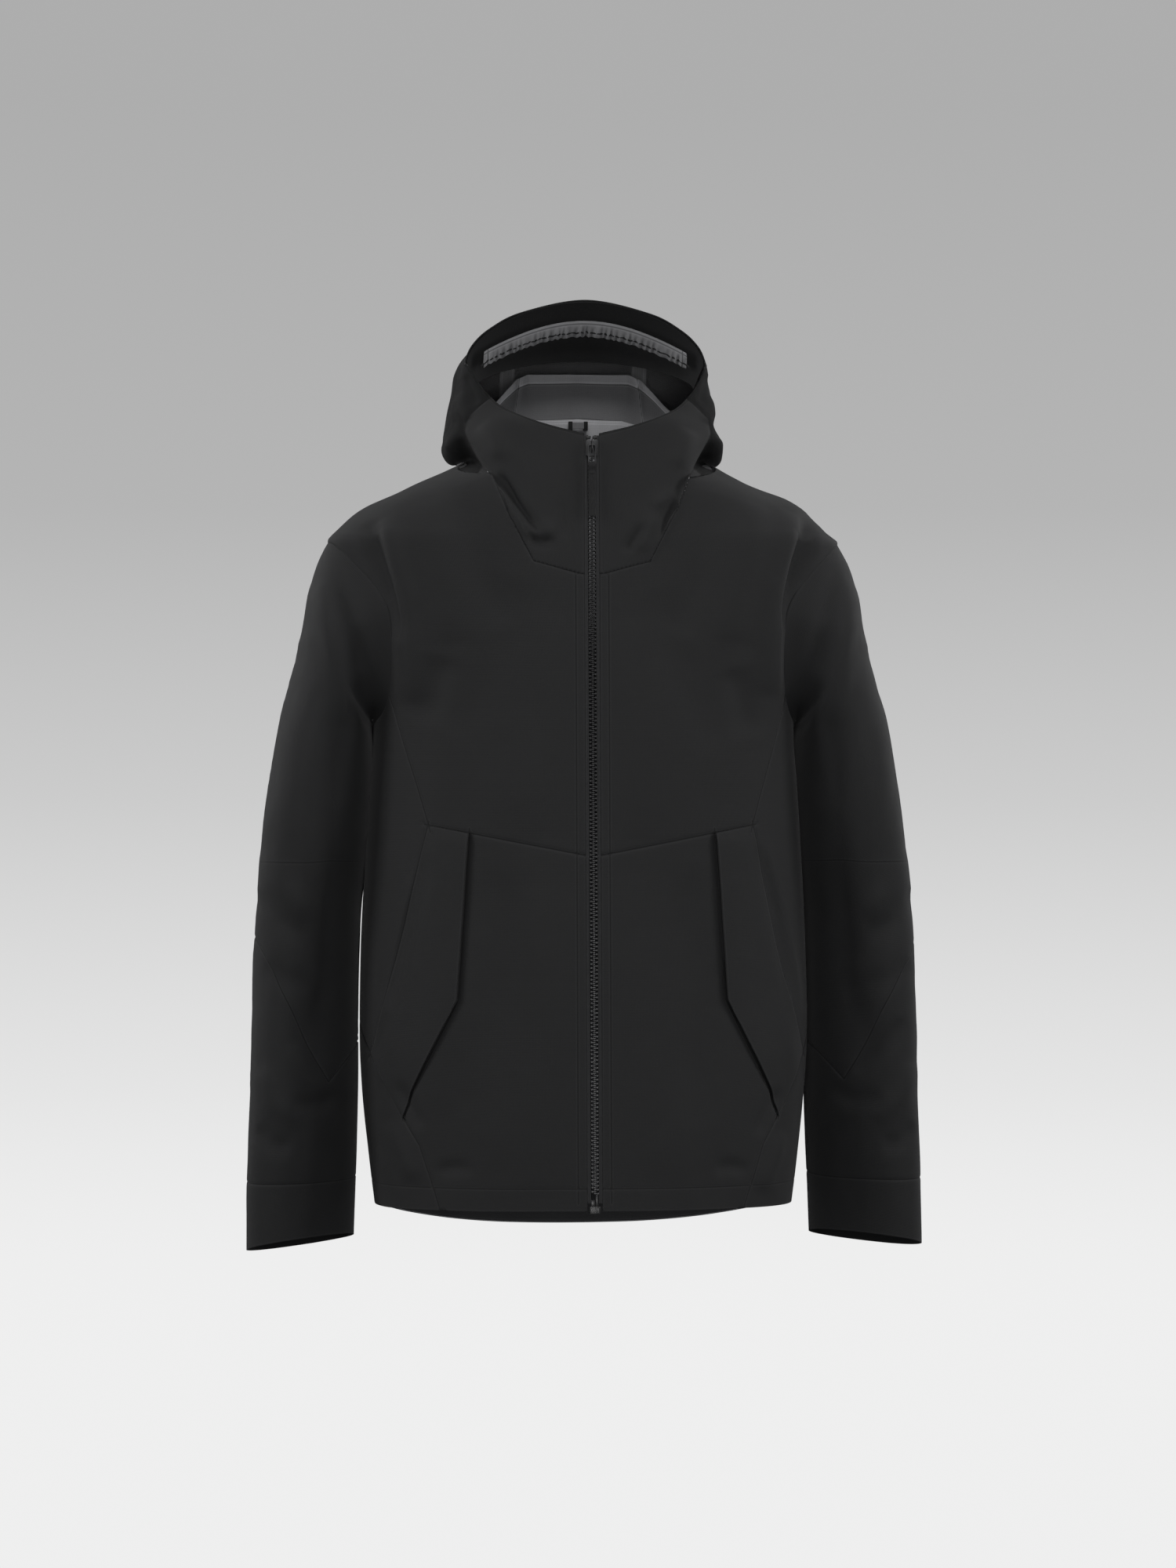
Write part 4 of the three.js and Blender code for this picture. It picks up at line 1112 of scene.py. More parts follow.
def zip_stops():
    """The top stops, the insertion pin and the retainer box, as blocks of low and high corner."""
    bottom = -ZIP_LENGTH
    stops = {f"zip_stop_{name}": (f"zip_top_stop_{name}",
                                  [((min(side * 0.7, side * 4.6), -1.0, -5.0),
                                    (max(side * 0.7, side * 4.6), 2.4, -2.2), 0.6, 3)])
             for name, side in SIDES}
    stops["zip_pin"] = ("zip_insertion_pin", [((0.5, -0.9, bottom + 3), (2.9, 2.3, bottom + 13.8), 0.5, 2)])
    stops["zip_box"] = ("zip_retainer_box", [
        ((-4.8, -1.5, bottom - 3.6), (4.8, 3.2, bottom + 3.6), 0.9, 3),
        ((-3.6, -1.0, bottom + 3.0), (0.1, 2.4, bottom + 9.0), 0.4, 2),
        *(((x - 0.5, -1.9, bottom - 2.2), (x + 0.5, -1.2, bottom + 2.2), 0.2, 1) for x in (-2.6, 0, 2.6))])
    for name, (node, blocks) in stops.items():
        bm = bmesh.new()
        for low, high, radius, segments in blocks:
            block(bm, low, high, radius, segments)
        attach(finish_mesh(bm, name, TEETH, ZIP_FRAME), "shell", "moulded_teeth", node)


SLIDER_TOP = -5.5
SLIDER_LOW = SLIDER_TOP - 15
EYE_Z = SLIDER_TOP - 6
TAB_HALF = 3.4


def slider():
    bm = bmesh.new()
    half = [(4.2, SLIDER_LOW), (4.9, SLIDER_LOW + 1), (5.4, SLIDER_TOP - 4), (5.0, SLIDER_TOP - 0.8),
            (3.4, SLIDER_TOP)]
    body = [*half, (0, SLIDER_TOP - 1.3), *((-x, z) for x, z in reversed(half))]
    plate(bm, body, -2.6, -1.2, 0.45, 3)
    plate(bm, body, 4.0, 5.2, 0.45, 3)
    for side in (1, -1):
        low, high = sorted((side * 4.0, side * 5.1))
        block(bm, (low, -2.2, SLIDER_LOW + 0.6), (high, 1.6, SLIDER_TOP - 3), 0.35, 2)
    arch = [(0, -2.2, SLIDER_TOP - 1.6), (0, -4.4, SLIDER_TOP - 2.0), (0, -5.7, SLIDER_TOP - 3.6),
            (0, -6.0, SLIDER_TOP - 6), (0, -5.7, SLIDER_TOP - 8.6), (0, -4.2, SLIDER_TOP - 10.4),
            (0, -2.2, SLIDER_TOP - 10.8)]
    path = spline(arch, np.linspace(0, len(arch) - 1, 25))
    sweep(bm, path, [(a * 1.9, b * 0.8) for a, b in circle(0.85, 10)], up=(1, 0, 0))
    piece = finish_mesh(bm, "slider_body", METAL, ZIP_FRAME)
    attach(piece, "zip_slider", "dark_metal", "zip_slider")


def pull():
    bm = bmesh.new()
    ring = rounded_ring(2.9, EYE_Z - 17, EYE_Z + 0.6, -4.4, 1.4)
    sweep(bm, ring, circle(0.78, 10), closed=True)
    piece = finish_mesh(bm, "pull_link", METAL, ZIP_FRAME)
    attach(piece, "zip_pull", "dark_metal", "zip_pull_link")
    bm = bmesh.new()
    top, bottom = EYE_Z - 16.0, EYE_Z - 62
    rings = []
    for z in np.linspace(top + 1.4, bottom, 60):
        swell = 0.9 * math.exp(-((z - top + 1.5) / 3.0) ** 2)
        bow = 0.6 * math.sin((z - bottom) * 0.06)
        front, back = [], []
        for x in np.linspace(-TAB_HALF, TAB_HALF, 15):
            rounded = 0.5 * (abs(x) / TAB_HALF) ** 6
            stitch = 0.22 if abs(abs(x) - 2.5) < 0.35 and (z - bottom) % 2.6 < 1.5 else 0.0
            tack = 0.25 if abs(z - (top - 8)) < 1.0 and abs(x) < 2.8 else 0.0
            front.append(bm.verts.new((x, -5.1 - swell - tack + rounded + stitch + bow, z)))
            back.append(bm.verts.new((x, -3.3 + swell - rounded + bow, z)))
        rings.append(front + back[::-1])
    skin(bm, rings)
    piece = finish_mesh(bm, "pull_tab", WEBBING, ZIP_FRAME)
    attach(piece, "zip_pull", "webbing", "zip_pull_tab")


# ---------------------------------------------------------------- torso
def side_line(y, low, high):
    """A line at one y up the wearer's left side, between two section numbers."""
    sections = np.linspace(low, high, 90)
    depth = spline(TORSO_SECTIONS, sections)[:, 1]
    angle = np.arccos(np.clip(y / depth, 0, 1) ** (SQUARENESS / 2))
    turn = 2 - np.interp(angle, QUARTER_ANGLE, QUARTER_SHARE)
    return np.stack([turn * QUARTER, section_height(sections)], axis=-1)


def zip_line(offset):
    """A line beside the front zip, from the hem to the chin seam."""
    line = [(ZIP_HALF_OPENING + offset, z) for z in np.linspace(-706.5, -152 + offset * 0.24, 60)]
    flat = on_torso(line)
    flat[0, 1] = 0
    return flat


def torso_outline():
    left = zip_line(0)
    right = mirrored(left)
    neck = np.concatenate([NECK_FLAT, mirrored(NECK_FLAT)[::-1]])
    return np.concatenate([left, neck, right[::-1], left[:1]])


def both(flat, depth):
    return [(flat, depth), (mirrored(flat), depth)]


def distance_from(flat, *lines):
    """How far each flat point is from some lines of the torso or their mirror images."""
    both_sides = [resample(copy, FINE_STEP) for line in lines for copy in (line, mirrored(line))]
    return nearest(tree_of(np.concatenate(both_sides)), flat)[1]


def torso_pattern():
    armhole = np.concatenate([ARMHOLE_FLAT[0], ARMHOLE_FLAT[1][::-1]])
    start = side_line(SIDE_SEAM_Y, SIDE_SEAM_AT_HEM_PANEL, SIDE_SEAM_AT_HEM_PANEL + 0.01)[:1]
    hem_side = np.concatenate([start, on_torso(HEM_SIDE_SEAM)])
    paired = [
        (armhole, 0.5), (on_torso(CHEST_SEAM), 0.8), (on_torso(SIDE_PANEL_SEAM), 0.8),
        (on_torso(POCKET_SEAM), 0.9), (hem_side, 1.0), (on_torso(FLAP_EDGE), 0.0),
        (on_torso(POCKET_SLOT), 0.0), (NECK_FLAT, 1.0), (side_line(SIDE_SEAM_Y, 0, SIDE_SEAM_TOP), 0.7),
        (side_line(SHOULDER_SEAM_Y, *SHOULDER_SEAM_ENDS), 0.7),
    ]
    seams = [seam for line, depth in paired for seam in both(line, depth)]
    seams.append((on_torso(YOKE_SEAM, back=True), 0.8))
    creases = both(zip_line(ZIP_STITCH)[2:], 0.28)
    hem = np.stack([np.linspace(8, TORSO_ROUND - 8, 320), np.full(320, HEM_STITCH)], axis=-1)
    creases.append((hem, 0.22))
    return Pattern(torso, torso_outline(), seams, creases)


def place_at(x, z, back=False):
    return on_torso([(x, z), (x + 0.01, z)], back, 50)[0]


def flap_lift(pattern):
    """How far each point of a pocket flap stands off the panel under it."""
    points = torso(pattern.flat)
    x, z = np.abs(points[:, 0]), points[:, 2]
    outer = np.array(POCKET_SEAM, float)
    edge = np.array(FLAP_EDGE, float)
    seam_x = np.interp(-z, -outer[:, 1], outer[:, 0])
    edge_x = np.interp(-z, -edge[:, 1], edge[:, 0])
    across = np.clip((seam_x - x) / np.maximum(seam_x - edge_x, 1), 0, 1)
    below = smooth(-z, 368, 388) * (1 - 0.8 * smooth(-z, 570, 630))
    return 0.5 + (2.8 * smooth(across, 0, 0.34) + 0.9 * smooth(across, 0.3, 1)) * below


def make_torso():
    pattern = torso_pattern()
    pattern.wear(lambda points, normals, flat: torso_relief(points, normals, flat)
                 * smooth(distance_from(flat, *ARMHOLE_FLAT), -2, 16)
                 * (1 - 0.6 * smooth(np.abs(normals[:, 0]), 0.7, 0.95)))
    cloth = [SHELL, BACKER]

    def add(node, x, z, back=False, side_name="", lift=None):
        end = side_name and f"_{side_name}"
        sew(pattern, f"{node}_cloth{end}", [place_at(x, z, back)], cloth, "shell", [node + end],
            lift=lift)

    add("back_panel", 0, -450, True)
    add("back_yoke", 0, -120, True)
    dip = FLAP_DIP * np.exp(-(distance_from(pattern.flat, on_torso(FLAP_EDGE)) / FLAP_DIP_WIDTH) ** 2)
    seam_distance = pattern.seam_distance
    beside_slot = distance_from(pattern.flat, on_torso(POCKET_SLOT)) < 8
    without_slot = np.where(beside_slot, NO_SEAM, seam_distance)
    sunk = np.full(len(pattern.flat), SURROUND_HEIGHT)
    for name, side in SIDES:
        flap = place_at(side * 150, -480)
        slot = place_at(side * 130, -460)
        add("front_chest", side * 90, -250, side_name=name)
        add("front_lower", side * 60, -500, side_name=name, lift=dip)
        add("side_panel", side * 192, -400, side_name=name)
        add("hem_side", side * 178, -660, side_name=name)
        pattern.seam_distance = without_slot
        hinge = ("shell", f"pocket_flap_{name}", (side * 0.168, -0.08, -0.470),
                 (side * 0.152, -0.09, -0.466))
        sew(pattern, f"pocket_flap_cloth_{name}", [flap, slot], cloth, hinge, [f"pocket_flap_{name}"],
            lift=flap_lift(pattern), thickness=FLAP_CLOTH)
        pattern.seam_distance = seam_distance
        sew(pattern, f"pocket_surround_{name}", [flap], cloth, "shell", [], lift=sunk)


def hem_facings():
    """The black facing turned up inside the hem, painted paler as painted light because it lies in shade.
    """
    low, high = 1.0, 27.0
    seam_turn = side_line(SIDE_SEAM_Y, 0, 0.5)[0, 0]
    spans = {"left": (9, seam_turn - 1), "back": (seam_turn + 1, TORSO_ROUND - seam_turn - 1),
             "right": (TORSO_ROUND - seam_turn + 1, TORSO_ROUND - 9)}
    for name, (start, end) in spans.items():
        outline = [(start, low), (end, low), (end, high), (start, high), (start, low)]
        pattern = Pattern(torso, outline, [], step=6.0)
        pattern.wear(lambda points, normals, flat: torso_relief(points, normals, flat) + FACING_HEIGHT)
        middle = ((start + end) / 2, (low + high) / 2)
        sew(pattern, f"hem_facing_cloth_{name}", [middle], [HEM_FACING_PAINTED_LIGHT], "shell",
            [f"hem_facing_{name}"], "facing_tape", "stretched", thickness=0.5)


# ---------------------------------------------------------------- sleeves
SLEEVE_RUN = section_run(sleeve_at, (0.5, 3.5, 7.5, 11.5), len(SLEEVE_SECTIONS) + 1)
SLEEVE_ROUND = 390.0        # the flat sleeve's width
SLEEVE_SIZE = (SLEEVE_ROUND, SLEEVE_RUN[-1])
SEAM_ALLOWANCE = 6.0


def sleeve(flat):
    row = np.interp(flat[:, 1], SLEEVE_RUN, np.arange(len(SLEEVE_RUN)))
    turn = (8 + flat[:, 0] / SLEEVE_ROUND * 16) % 16
    tuck = (1 - smooth(flat[:, 1], 0, SEAM_ALLOWANCE))[:, None]
    under = sleeve_loop(turn, TUCKED_FRONT, TUCKED_BACK)
    return sleeve_at(turn, row) + tuck * (under - sleeve_loop(turn, ARMHOLE_FRONT, ARMHOLE_BACK))


def on_sleeve(line, back, step=SEAM_STEP):
    def keep(points, grid):
        turn = 8 + grid[:, 0] / SLEEVE_ROUND * 16
        rear = turn < 16
        return (rear if back else ~rear) & (grid[:, 1] > 60)
    return locate(sleeve, SLEEVE_SIZE, resample(line, step), keep)


def across_sleeve(z):
    """A line round the sleeve at one height: solved on each line down the sleeve."""
    v = np.linspace(30, SLEEVE_SIZE[1], 500)
    line = []
    for u in np.linspace(0, SLEEVE_ROUND, 124):
        heights = sleeve(np.stack([np.full(len(v), u), v], axis=-1))[:, 2]
        line.append((u, np.interp(-z, -heights, v)))
    return np.array(line)


def make_sleeve(name, side):
    width, length = SLEEVE_SIZE
    outline = [(0, 0), (width, 0), (width, length), (0, length), (0, 0)]
    front, back = on_sleeve(ELBOW_SEAM, False), on_sleeve(ELBOW_SEAM, True)
    front = np.concatenate([front, [(width - 1e-3, front[-1, 1])]])
    back = np.concatenate([back, [(1e-3, back[-1, 1])]])
    bridge = resample([back[0], front[0]], SEAM_STEP)
    seams = [(front, 0.8), (back, 0.8), (bridge, 0.8),
             (across_sleeve(CUFF_STITCH_Z), 0.55), (across_sleeve(ELBOW_JOIN_Z), 0.0)]
    edges = [(((0, 0), (width, 0)), 0.6), (((0, 0), (0, length)), 0.7),
             (((width, 0), (width, length)), 0.7)]
    seams += [(resample(edge, SEAM_STEP), depth) for edge, depth in edges]
    pattern = Pattern(sleeve, outline, seams)
    pattern.wear(sleeve_relief(side), mirror=side < 0)

    def add(node, row, hinge, lining=BACKER):
        place = (3 / 4 * SLEEVE_ROUND, np.interp(row, np.arange(len(SLEEVE_RUN)), SLEEVE_RUN))
        sew(pattern, f"{node}_cloth_{name}", [place], [SHELL, lining], hinge, [f"{node}_{name}"])

    upper, lower = f"upper_sleeve_{name}", f"forearm_{name}"
    shoulder = ("shell", upper, (side * 0.176, 0, -0.282), (side * 0.272, 0, -0.335))
    elbow = (upper, lower, (side * 0.25, 0, -0.410), (side * 0.25, 0, -0.520))
    add("sleeve_upper", 3, shoulder)
    add("forearm_panel", 7, elbow)
    add("forearm_under", 10.2, elbow)
    add("cuff", 11.6, elbow, FACING)


# ---------------------------------------------------------------- hood and collar
# Seams of the hood, in columns and rows of its net.
CHIN_COLUMN = 3.35
BRIM_ROW = 1.15
HOOD_SEAM_COLUMN = 9.0
HOOD_TAPE_HALF = 6.5
HOOD_TAPE_DEPTH = 1.9       # how far the tape lies inside the hood's outer face


# A line through the hood from its first point to its second, given to the hood's pieces in place of a body.
HOOD_TILT = ("shell", "hood", (0, -0.0228, -0.0304), (0, 0.012, 0.016))


def make_hood():
    corners = [(0, 0), (HOOD_LAST, 0), (HOOD_LAST, HOOD_ROWS), (0, HOOD_ROWS), (0, 0)]
    outline = [hood_flat(column, row) for column, row in corners]

    def line(columns, rows, count=60):
        t = np.linspace(0, 1, count)
        return resample(hood_flat(along(np.array(columns)[:, None], t)[:, 0],
                                  along(np.array(rows)[:, None], t)[:, 0]), SEAM_STEP)

    seams = []
    for mirror in (False, True):
        def col(*values):
            return [HOOD_LAST - c if mirror else c for c in values]
        seams.append((line(col(CHIN_COLUMN, CHIN_COLUMN), (0, HOOD_ROWS)), 0.0))
        seams.append((line(col(5.0, 6.0, 8.0, 10.0), (0.0, BRIM_ROW, BRIM_ROW, BRIM_ROW)), 0.6))
        seams.append((line(col(HOOD_SEAM_COLUMN, HOOD_SEAM_COLUMN), (BRIM_ROW, HOOD_ROWS)), 0.9))
        seams.append((line(col(0, 10), (HOOD_ROWS, HOOD_ROWS), 120), 1.0))
    edge = line((0, HOOD_LAST), (0.12, 0.12), 200)
    pattern = Pattern(hood, outline, seams, [(edge, 0.15)], step=4.2)
    pattern.wear(hood_relief)

    def add(name, node, column, row, bodies, held, lining=BACKER):
        sew(pattern, name, [hood_flat(column, row)], [SHELL, lining], bodies, [node],
            held=held, thickness=1.0)

    for name, side in SIDES:
        chin, cheek = (1.5, 7) if side > 0 else (HOOD_LAST - 1.5, HOOD_LAST - 7)
        add(f"chin_panel_cloth_{name}", f"chin_panel_{name}", chin, 4, "shell", "stretched")
        add(f"hood_side_cloth_{name}", f"hood_side_{name}", cheek, 4, HOOD_TILT, "hung")
    add("hood_centre_cloth", "hood_centre", 10, 4, HOOD_TILT, "hung")
    add("hood_brim_cloth", "hood_brim", 10, 0.5, HOOD_TILT, "stretched", FACING)


def brim_height(x):
    """Heights of the brim's edge and of the rear edge of its facing, seen from the front."""
    top = 41 + 55.5 * (1 - np.clip(np.abs(x) / 108.5, 0, 1) ** 1.75) ** (1 / 1.75)
    bottom = 20 + 27 * np.sqrt(1 - np.clip(np.abs(x) / 99, 0, 1) ** 2)
    return top, bottom


def facing_point(across, share):
    """The brim's inner facing. across: -1 to 1 along the arch. share: 0 brim, 1 rear edge."""
    angle = across * math.pi / 2
    lean = power(np.sin(angle), 2 / 1.75)
    rise = power(np.cos(angle), 2 / 1.75)
    top = np.stack([106.5 * lean, -27.5 - 3 * rise, 41 + 55 * rise], axis=-1)
    bottom = np.stack([98 * lean, -20 + 30 * rise, 20 + 27 * rise], axis=-1)
    bulge = 5.0 * np.sin(math.pi * share)[..., None] * np.array([0, -0.4, -0.6])
    return top + (bottom - top) * share[..., None] - bulge * rise[..., None]


def grid_cloth(name, point, u, v, materials, thickness, flat_scale, distance=None):
    """A sheet given by point(u, v). Its face is turned to the front and its back lies behind."""
    uu, vv = np.meshgrid(u, v, indexing="ij")
    points = point(uu, vv)
    normals = unit(np.cross(np.gradient(points, axis=0), np.gradient(points, axis=1)).reshape(-1, 3))
    turned = normals[:, 1].sum() > 0
    if turned:
        normals = -normals
    index = np.arange(uu.size).reshape(uu.shape)
    a, b, c, d = (part.ravel() for part in (index[:-1, :-1], index[1:, :-1], index[1:, 1:], index[:-1, 1:]))
    faces = np.concatenate([np.stack([a, b, c], axis=1), np.stack([a, c, d], axis=1)])
    outer = points.reshape(-1, 3)
    flat = np.stack([uu.ravel() * flat_scale[0], vv.ravel() * flat_scale[1]], axis=-1)
    gap = np.full(len(outer), NO_SEAM) if distance is None else distance(uu, vv).ravel()
    return cloth_mesh(name, outer, outer - normals * thickness, faces, materials, flat, gap, turned)


def make_brim_lining():
    piece = grid_cloth("brim_facing_cloth", facing_point, np.linspace(-1, 1, 121), np.linspace(0, 1, 24),
                       [FACING], 0.8, (130, 50))
    attach(piece, "hood", "facing_tape")

    def strip(x, share):
        """The gathered channel: share 0 at its bound top edge, 1 at its gathered lower edge."""
        top = 51 + 29 * np.cos(x / 91 * math.pi / 2) ** 0.9
        z = top - 13.5 * share
        arch_top, arch_low = brim_height(x)
        depth = np.clip((arch_top - z) / (arch_top - arch_low), 0, 1)
        y = -30 + 30 * depth * np.sqrt(1 - (x / 99) ** 2) - 3.6
        loose = smooth(share, 0.22, 0.7)
        gathers = 1.5 * np.sin(x * 1.15 + 1.2 * np.sin(x * 0.31) + 2.0 * share)
        gathers += 1.2 * np.sin(x * 0.53 + 3 * np.sin(x * 0.17))
        puff = 1.6 * np.sin(math.pi * np.clip(share, 0, 1)) ** 0.6
        z = z + 0.5 * loose * np.sin(x * 0.9 + np.sin(x * 0.23) * 2)
        notch = 0.9 * np.exp(-((x - 1) / 2.2) ** 2) * loose
        return np.stack([x, y - puff - loose * gathers * 0.55 + notch, z + notch], axis=-1)

    def strip_seams(x, share):
        return np.minimum(np.abs(share - 0.2) * 13.5, np.abs(np.abs(x) - 87.5))

    piece = grid_cloth("brim_channel_cloth", strip, np.linspace(-91, 91, 420), np.linspace(0, 1, 22),
                       [GATHERED], 0.7, (1, 14), strip_seams)
    attach(piece, "hood", "grey_backer", "brim_channel")
    x = np.linspace(-93.5, 93.5, 90)
    route = strip(np.clip(x, -90.9, 90.9), np.full(90, 0.72)) + np.array([0, 0.9, 0])
    route[:, 0] = x
    route[:, 2] -= 1.2 * np.maximum(np.abs(x) - 91, 0)
    bm = bmesh.new()
    sweep(bm, route, circle(1.0, 10))
    attach(finish_mesh(bm, "brim_elastic", WEBBING), "hood", "webbing", "brim_cord")


def collar_point(x, share):
    """The inner collar, seen from the front: share 0 at its seam, 1 at its top edge."""
    wide = np.abs(x)
    top = np.interp(wide, [0, 46, 56, 79, 94], [41.5, 41, 36, 10.5, -4])
    low = np.interp(wide, [0, 40, 70, 94], [1.5, -1, -10, -30])
    z = low + (top - low) * share
    y = 68 * (1 - np.clip(wide / 101, 0, 1) ** 2.4) ** 0.4167
    fold_in = 9 * smooth(wide, 44, 58) * (1 - smooth(wide, 66, 84)) * smooth(share, 0.2, 1)
    wing = 5.0 * np.exp(-((wide - 60 + 6 * share) / 3.5) ** 2)
    drape = 1.4 * np.sin(x * 0.052 + 0.6) * share + 1.0 * np.sin(x * 0.11 + share * 3)
    pucker = 1.6 * np.exp(-((x + 2) / 5) ** 2) * smooth(share, 0.78, 1)
    lean = -3.0 * share + 1.5 * smooth(share, 0.79, 1.0)
    return np.stack([x, y - fold_in + wing * share - drape + pucker + lean, z], axis=-1)


def collar_seams(x, share):
    top = np.abs(share - 0.79) * 40
    creased = np.abs(np.abs(x) - (60 - 6 * share))
    return np.minimum(top, creased * 1.4)


PAINTED_LIGHT_BAND = 0.78            # share of the collar's height above which its top band is painted pale, as painted light where the fold faces up


def facing_under_neck(x, share):
    wide = np.abs(x)
    drop = np.interp(wide, [0, 48, 70], [46, 34, 6])
    z = np.interp(wide, [0, 40, 70], [1.0, -1.5, -11]) - share * drop
    y = 68.5 - 0.10 * z - 0.00495 * x * x
    return np.stack([x, y, z], axis=-1)


def make_collar():
    u = np.linspace(-94, 94, 180)
    v = np.linspace(0, 1, 44)
    piece = grid_cloth("inner_collar_cloth", collar_point, u, v, [COLLAR, SHELL], 1.2, (1, 42),
                       collar_seams)
    # Painted light: faces of the collar's top band take the pale material, where the fold faces the light
    # above.
    piece.data.materials.append(PALE_BACKER_AND_PAINTED_LIGHT)
    shares = np.tile(v, len(u))
    for face in piece.data.polygons:
        on_face = [shares[i] for i in face.vertices if i < len(shares)]
        if face.material_index == 0 and min(on_face) >= PAINTED_LIGHT_BAND:
            face.material_index = 2
    attach(piece, "shell", "grey_backer", "inner_collar")
    piece = grid_cloth("neck_facing_cloth", facing_under_neck, np.linspace(-70, 70, 90),
                       np.linspace(0, 1, 26), [PALE_BACKER_AND_PAINTED_LIGHT], 0.6, (1, 46),
                       lambda x, share: np.abs(share - 0.06) * 40)
    attach(piece, "shell", "grey_backer", "neck_facing")


def hang_loop():
    bm = bmesh.new()
    path = [(-7.4, 66.5, -6), (-7.0, 63.0, -6), (-5.6, 60.8, -6), (-2, 60.2, -6), (2, 60.2, -6),
            (5.6, 60.8, -6), (7.0, 63.0, -6), (7.4, 66.5, -6)]
    path = spline(path, np.linspace(0, len(path) - 1, 40))
    section = [(a * 0.7, b * 3.0) for a, b in [(-1, -0.9), (-1, 0.9), (-0.6, 1), (0.6, 1), (1, 0.9),
                                              (1, -0.9), (0.6, -1), (-0.6, -1)]]
    sweep(bm, path, section, up=(0, 0, 1))
    attach(finish_mesh(bm, "hang_loop_bar", PALE_BACKER_AND_PAINTED_LIGHT), "shell", "webbing", "hang_loop")
    bm = bmesh.new()
    for x in (-7.0, 7.0):
        block(bm, (x - 1.8, 59.6, -10.4), (x + 1.8, 66.5, -2.2), 0.5, 2)
    attach(finish_mesh(bm, "hang_loop_ends", WEBBING), "shell", "webbing")


def lining_tape(name, side):
    """Seam tape down the inside of one seam between the hood's centre and its side."""
    rows = np.linspace(BRIM_ROW + 0.6, HOOD_ROWS - 0.4, 70)
    width = np.linspace(-HOOD_TAPE_HALF, HOOD_TAPE_HALF, 7)
    column = HOOD_SEAM_COLUMN if side > 0 else HOOD_LAST - HOOD_SEAM_COLUMN

    def tape(a, r):
        across = np.stack([a.ravel(), 0 * a.ravel()], axis=-1)
        flat = hood_flat(np.full(r.size, column), r.ravel()) + across
        points = hood(flat)
        normals = unit(np.cross(hood(flat + (0.4, 0)) - points, hood(flat + (0, 0.4)) - points))
        outward = np.sign(np.sum(normals * (points - (0, 40, 30)), axis=1, keepdims=True))
        height = hood_relief(points, normals, flat)[:, None]
        points = points + normals * outward * (height - HOOD_TAPE_DEPTH)
        return points.reshape(a.shape + (3,))

    piece = grid_cloth(f"hood_tape_{name}", tape, width, rows, [BACKER], 0.3, (1, 36),
                       lambda a, r: np.abs(np.abs(a) - 5.0) * 1.6)
    attach(piece, HOOD_TILT, "grey_backer")


# ---------------------------------------------------------------- pockets
BAG_OUTLINE = [(53, -426), (151, -426), (170, -558), (149, -603), (53, -603), (53, -426)]


SUNK_DEPTH = 3.4


def sunk_copy(node, material, body, slot):
    """The pocket's hardware, smoothed and set back under its flap."""
    mesh = bpy.data.objects[node].data
    bm = bmesh.new()
    bm.from_mesh(mesh)
    bmesh.ops.transform(bm, matrix=bpy.data.objects[node].matrix_world, verts=bm.verts)
    bmesh.ops.scale(bm, vec=(1 / MM, 1 / MM, 1 / MM), verts=bm.verts)
    bmesh.ops.remove_doubles(bm, verts=bm.verts, dist=0.01)
    hard = [e for e in bm.edges if e.calc_face_angle(0) > 0.6]
    bmesh.ops.bevel(bm, geom=hard, offset=0.25, segments=2, affect="EDGES", clamp_overlap=True)
    bmesh.ops.translate(bm, vec=(0, SUNK_DEPTH, 0), verts=bm.verts)
    attach(finish_mesh(bm, f"{node}_part", material), body, slot, node)


def make_pocket(name, side):
    pattern = Pattern(torso, on_torso(BAG_OUTLINE), [], step=7.0)
    pattern.wear(lambda points, normals, flat: np.full(len(points), BAG_HEIGHT), mirror=side < 0)
    puff = 0.9 + 7.5 * smooth(pattern.seam_distance, 0, 26)
    puff += 0.8 * noise_field(pattern.outer, (22, 22, 22), 31) * smooth(pattern.seam_distance, 4, 20)
    sew(pattern, f"pocket_bag_cloth_{name}", [place_at(100, -500)], [FACING], "shell",
        [f"pocket_bag_{name}"], "facing_tape", thickness=puff)
    slider_body = f"pocket_slider_{name}"
    sunk_copy(f"pocket_zip_{name}", TEETH, "shell", "moulded_teeth")
    sunk_copy(f"pocket_slider_{name}", METAL, slider_body, "dark_metal")
    sunk_copy(f"pocket_pull_{name}", WEBBING, slider_body, "webbing")


# ---------------------------------------------------------------- studio
def area_light(name, place, target, size, watts):
    light = bpy.data.lights.new(name, "AREA")
    light.shape = "RECTANGLE"
    light.size, light.size_y = size
    light.energy = watts
    obj = add_object(name, light)
    obj.location = place
    obj.rotation_euler = (Vector(target) - Vector(place)).to_track_quat("-Z", "Y").to_euler()


FLOOR = -1.25               # all lengths of the studio are in metres


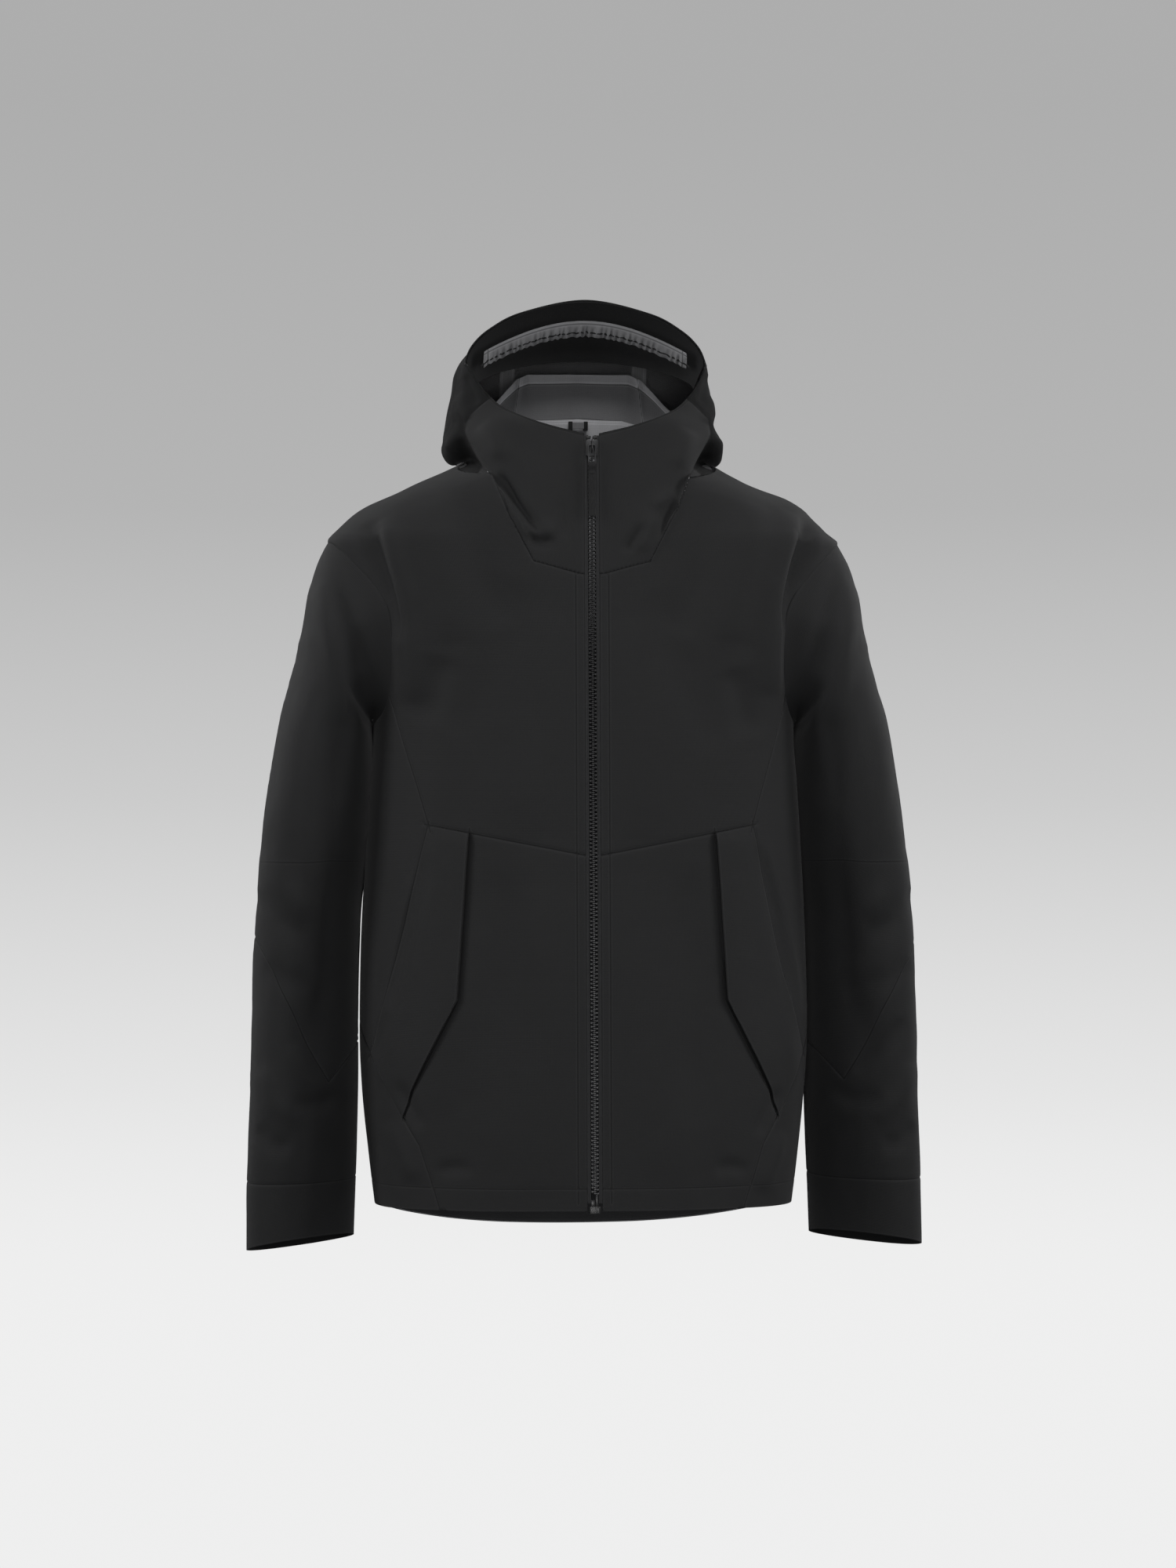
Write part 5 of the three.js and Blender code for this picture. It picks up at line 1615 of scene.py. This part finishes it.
def make_backdrop():
    """A pale floor that rises into a wall all round, seen only by the camera: it glows with a painted
    gradient of light, brightest at the floor and darker up the wall.
    """
    profile = [(0.02, FLOOR), (3.0, FLOOR), (4.4, -1.2), (5.6, -1.0), (6.6, -0.5), (7.0, 0.4),
               (7.0, 2.0), (7.0, 5.0), (5.0, 7.0), (0.02, 7.5)]
    line = spline(profile, np.linspace(0, len(profile) - 1, 60))
    count = 96
    turns = np.arange(count) * 2 * math.pi / count
    verts = [(max(r, 0.02) * math.cos(t), max(r, 0.02) * math.sin(t), z) for r, z in line for t in turns]
    around = [(j, (j + 1) % count) for j in range(count)]
    faces = [(i + j, i + k, i + count + k, i + count + j)
             for i in range(0, (len(line) - 1) * count, count) for j, k in around]
    mesh = bpy.data.meshes.new("studio")
    mesh.from_pydata(verts, [], faces)
    mesh.polygons.foreach_set("use_smooth", [True] * len(mesh.polygons))
    material = bpy.data.materials.new("studio_painted_glow")
    material.use_nodes = True
    tree = material.node_tree
    tree.nodes.clear()
    n = Nodes(material)
    level = n.split(n.add("ShaderNodeTexCoord").outputs["Object"])[2]
    height = n.math("DIVIDE", n.math("ADD", level, -FLOOR), 4.0)
    # Painted light: the glow falls from pale at the floor to darker grey up the wall.
    color = n.ramp(height, [(0.0, 0.86), (0.05, 0.78), (0.22, 0.60), (0.42, 0.46), (0.7, 0.42)])
    glow = n.add("ShaderNodeEmission", Color=color, Strength=1.0)
    output = tree.nodes.new("ShaderNodeOutputMaterial")
    tree.links.new(glow.outputs[0], output.inputs[0])
    mesh.materials.append(material)
    obj = add_object("studio", mesh)
    obj.visible_diffuse = obj.visible_glossy = obj.visible_shadow = False
    obj.visible_transmission = False


def make_studio():
    world = bpy.data.worlds.new("studio_light")
    bpy.context.scene.world = world
    world.use_nodes = True
    background = world.node_tree.nodes["Background"].inputs
    background["Color"].default_value = (0.85, 0.88, 0.92, 1)
    background["Strength"].default_value = 0.07
    for sign in (1, -1):
        area_light(f"side_{sign}", (sign * 2.7, -1.0, 0.5), (sign * 0.1, 0, -0.33), (0.8, 2.4), 26)
        area_light(f"rim_{sign}", (sign * 2.2, 1.2, 0.8), (sign * 0.2, 0, -0.3), (0.8, 2.0), 10)
    area_light("front", (0.0, -3.0, 1.9), (0, 0, -0.35), (2.0, 1.0), 32)
    area_light("front_low", (-0.1, -3.7, -0.5), (0, 0, -0.1), (1.0, 0.6), 13)
    area_light("top", (0.0, 0.4, 2.3), (0, 0, -0.2), (1.8, 1.2), 13)
    make_backdrop()
    camera = bpy.data.cameras.new("camera")
    camera.lens = 85
    camera.sensor_width = 36
    camera.clip_end = 60
    obj = add_object("camera", camera)
    obj.location = (-0.2526, -3.340, -0.336)
    obj.rotation_euler = (math.radians(90), 0, math.radians(-4.4))
    bpy.context.scene.camera = obj
    bpy.context.scene.view_settings.view_transform = "Standard"


make_studio()
make_torso()
hem_facings()
make_hood()
make_brim_lining()
make_collar()
hang_loop()
for side_name, side_sign in SIDES:
    lining_tape(side_name, side_sign)
    make_sleeve(side_name, side_sign)
    make_pocket(side_name, side_sign)
    zip_chain(side_name, side_sign)
    zip_tape(side_name, side_sign)
zip_stops()
slider()
pull()
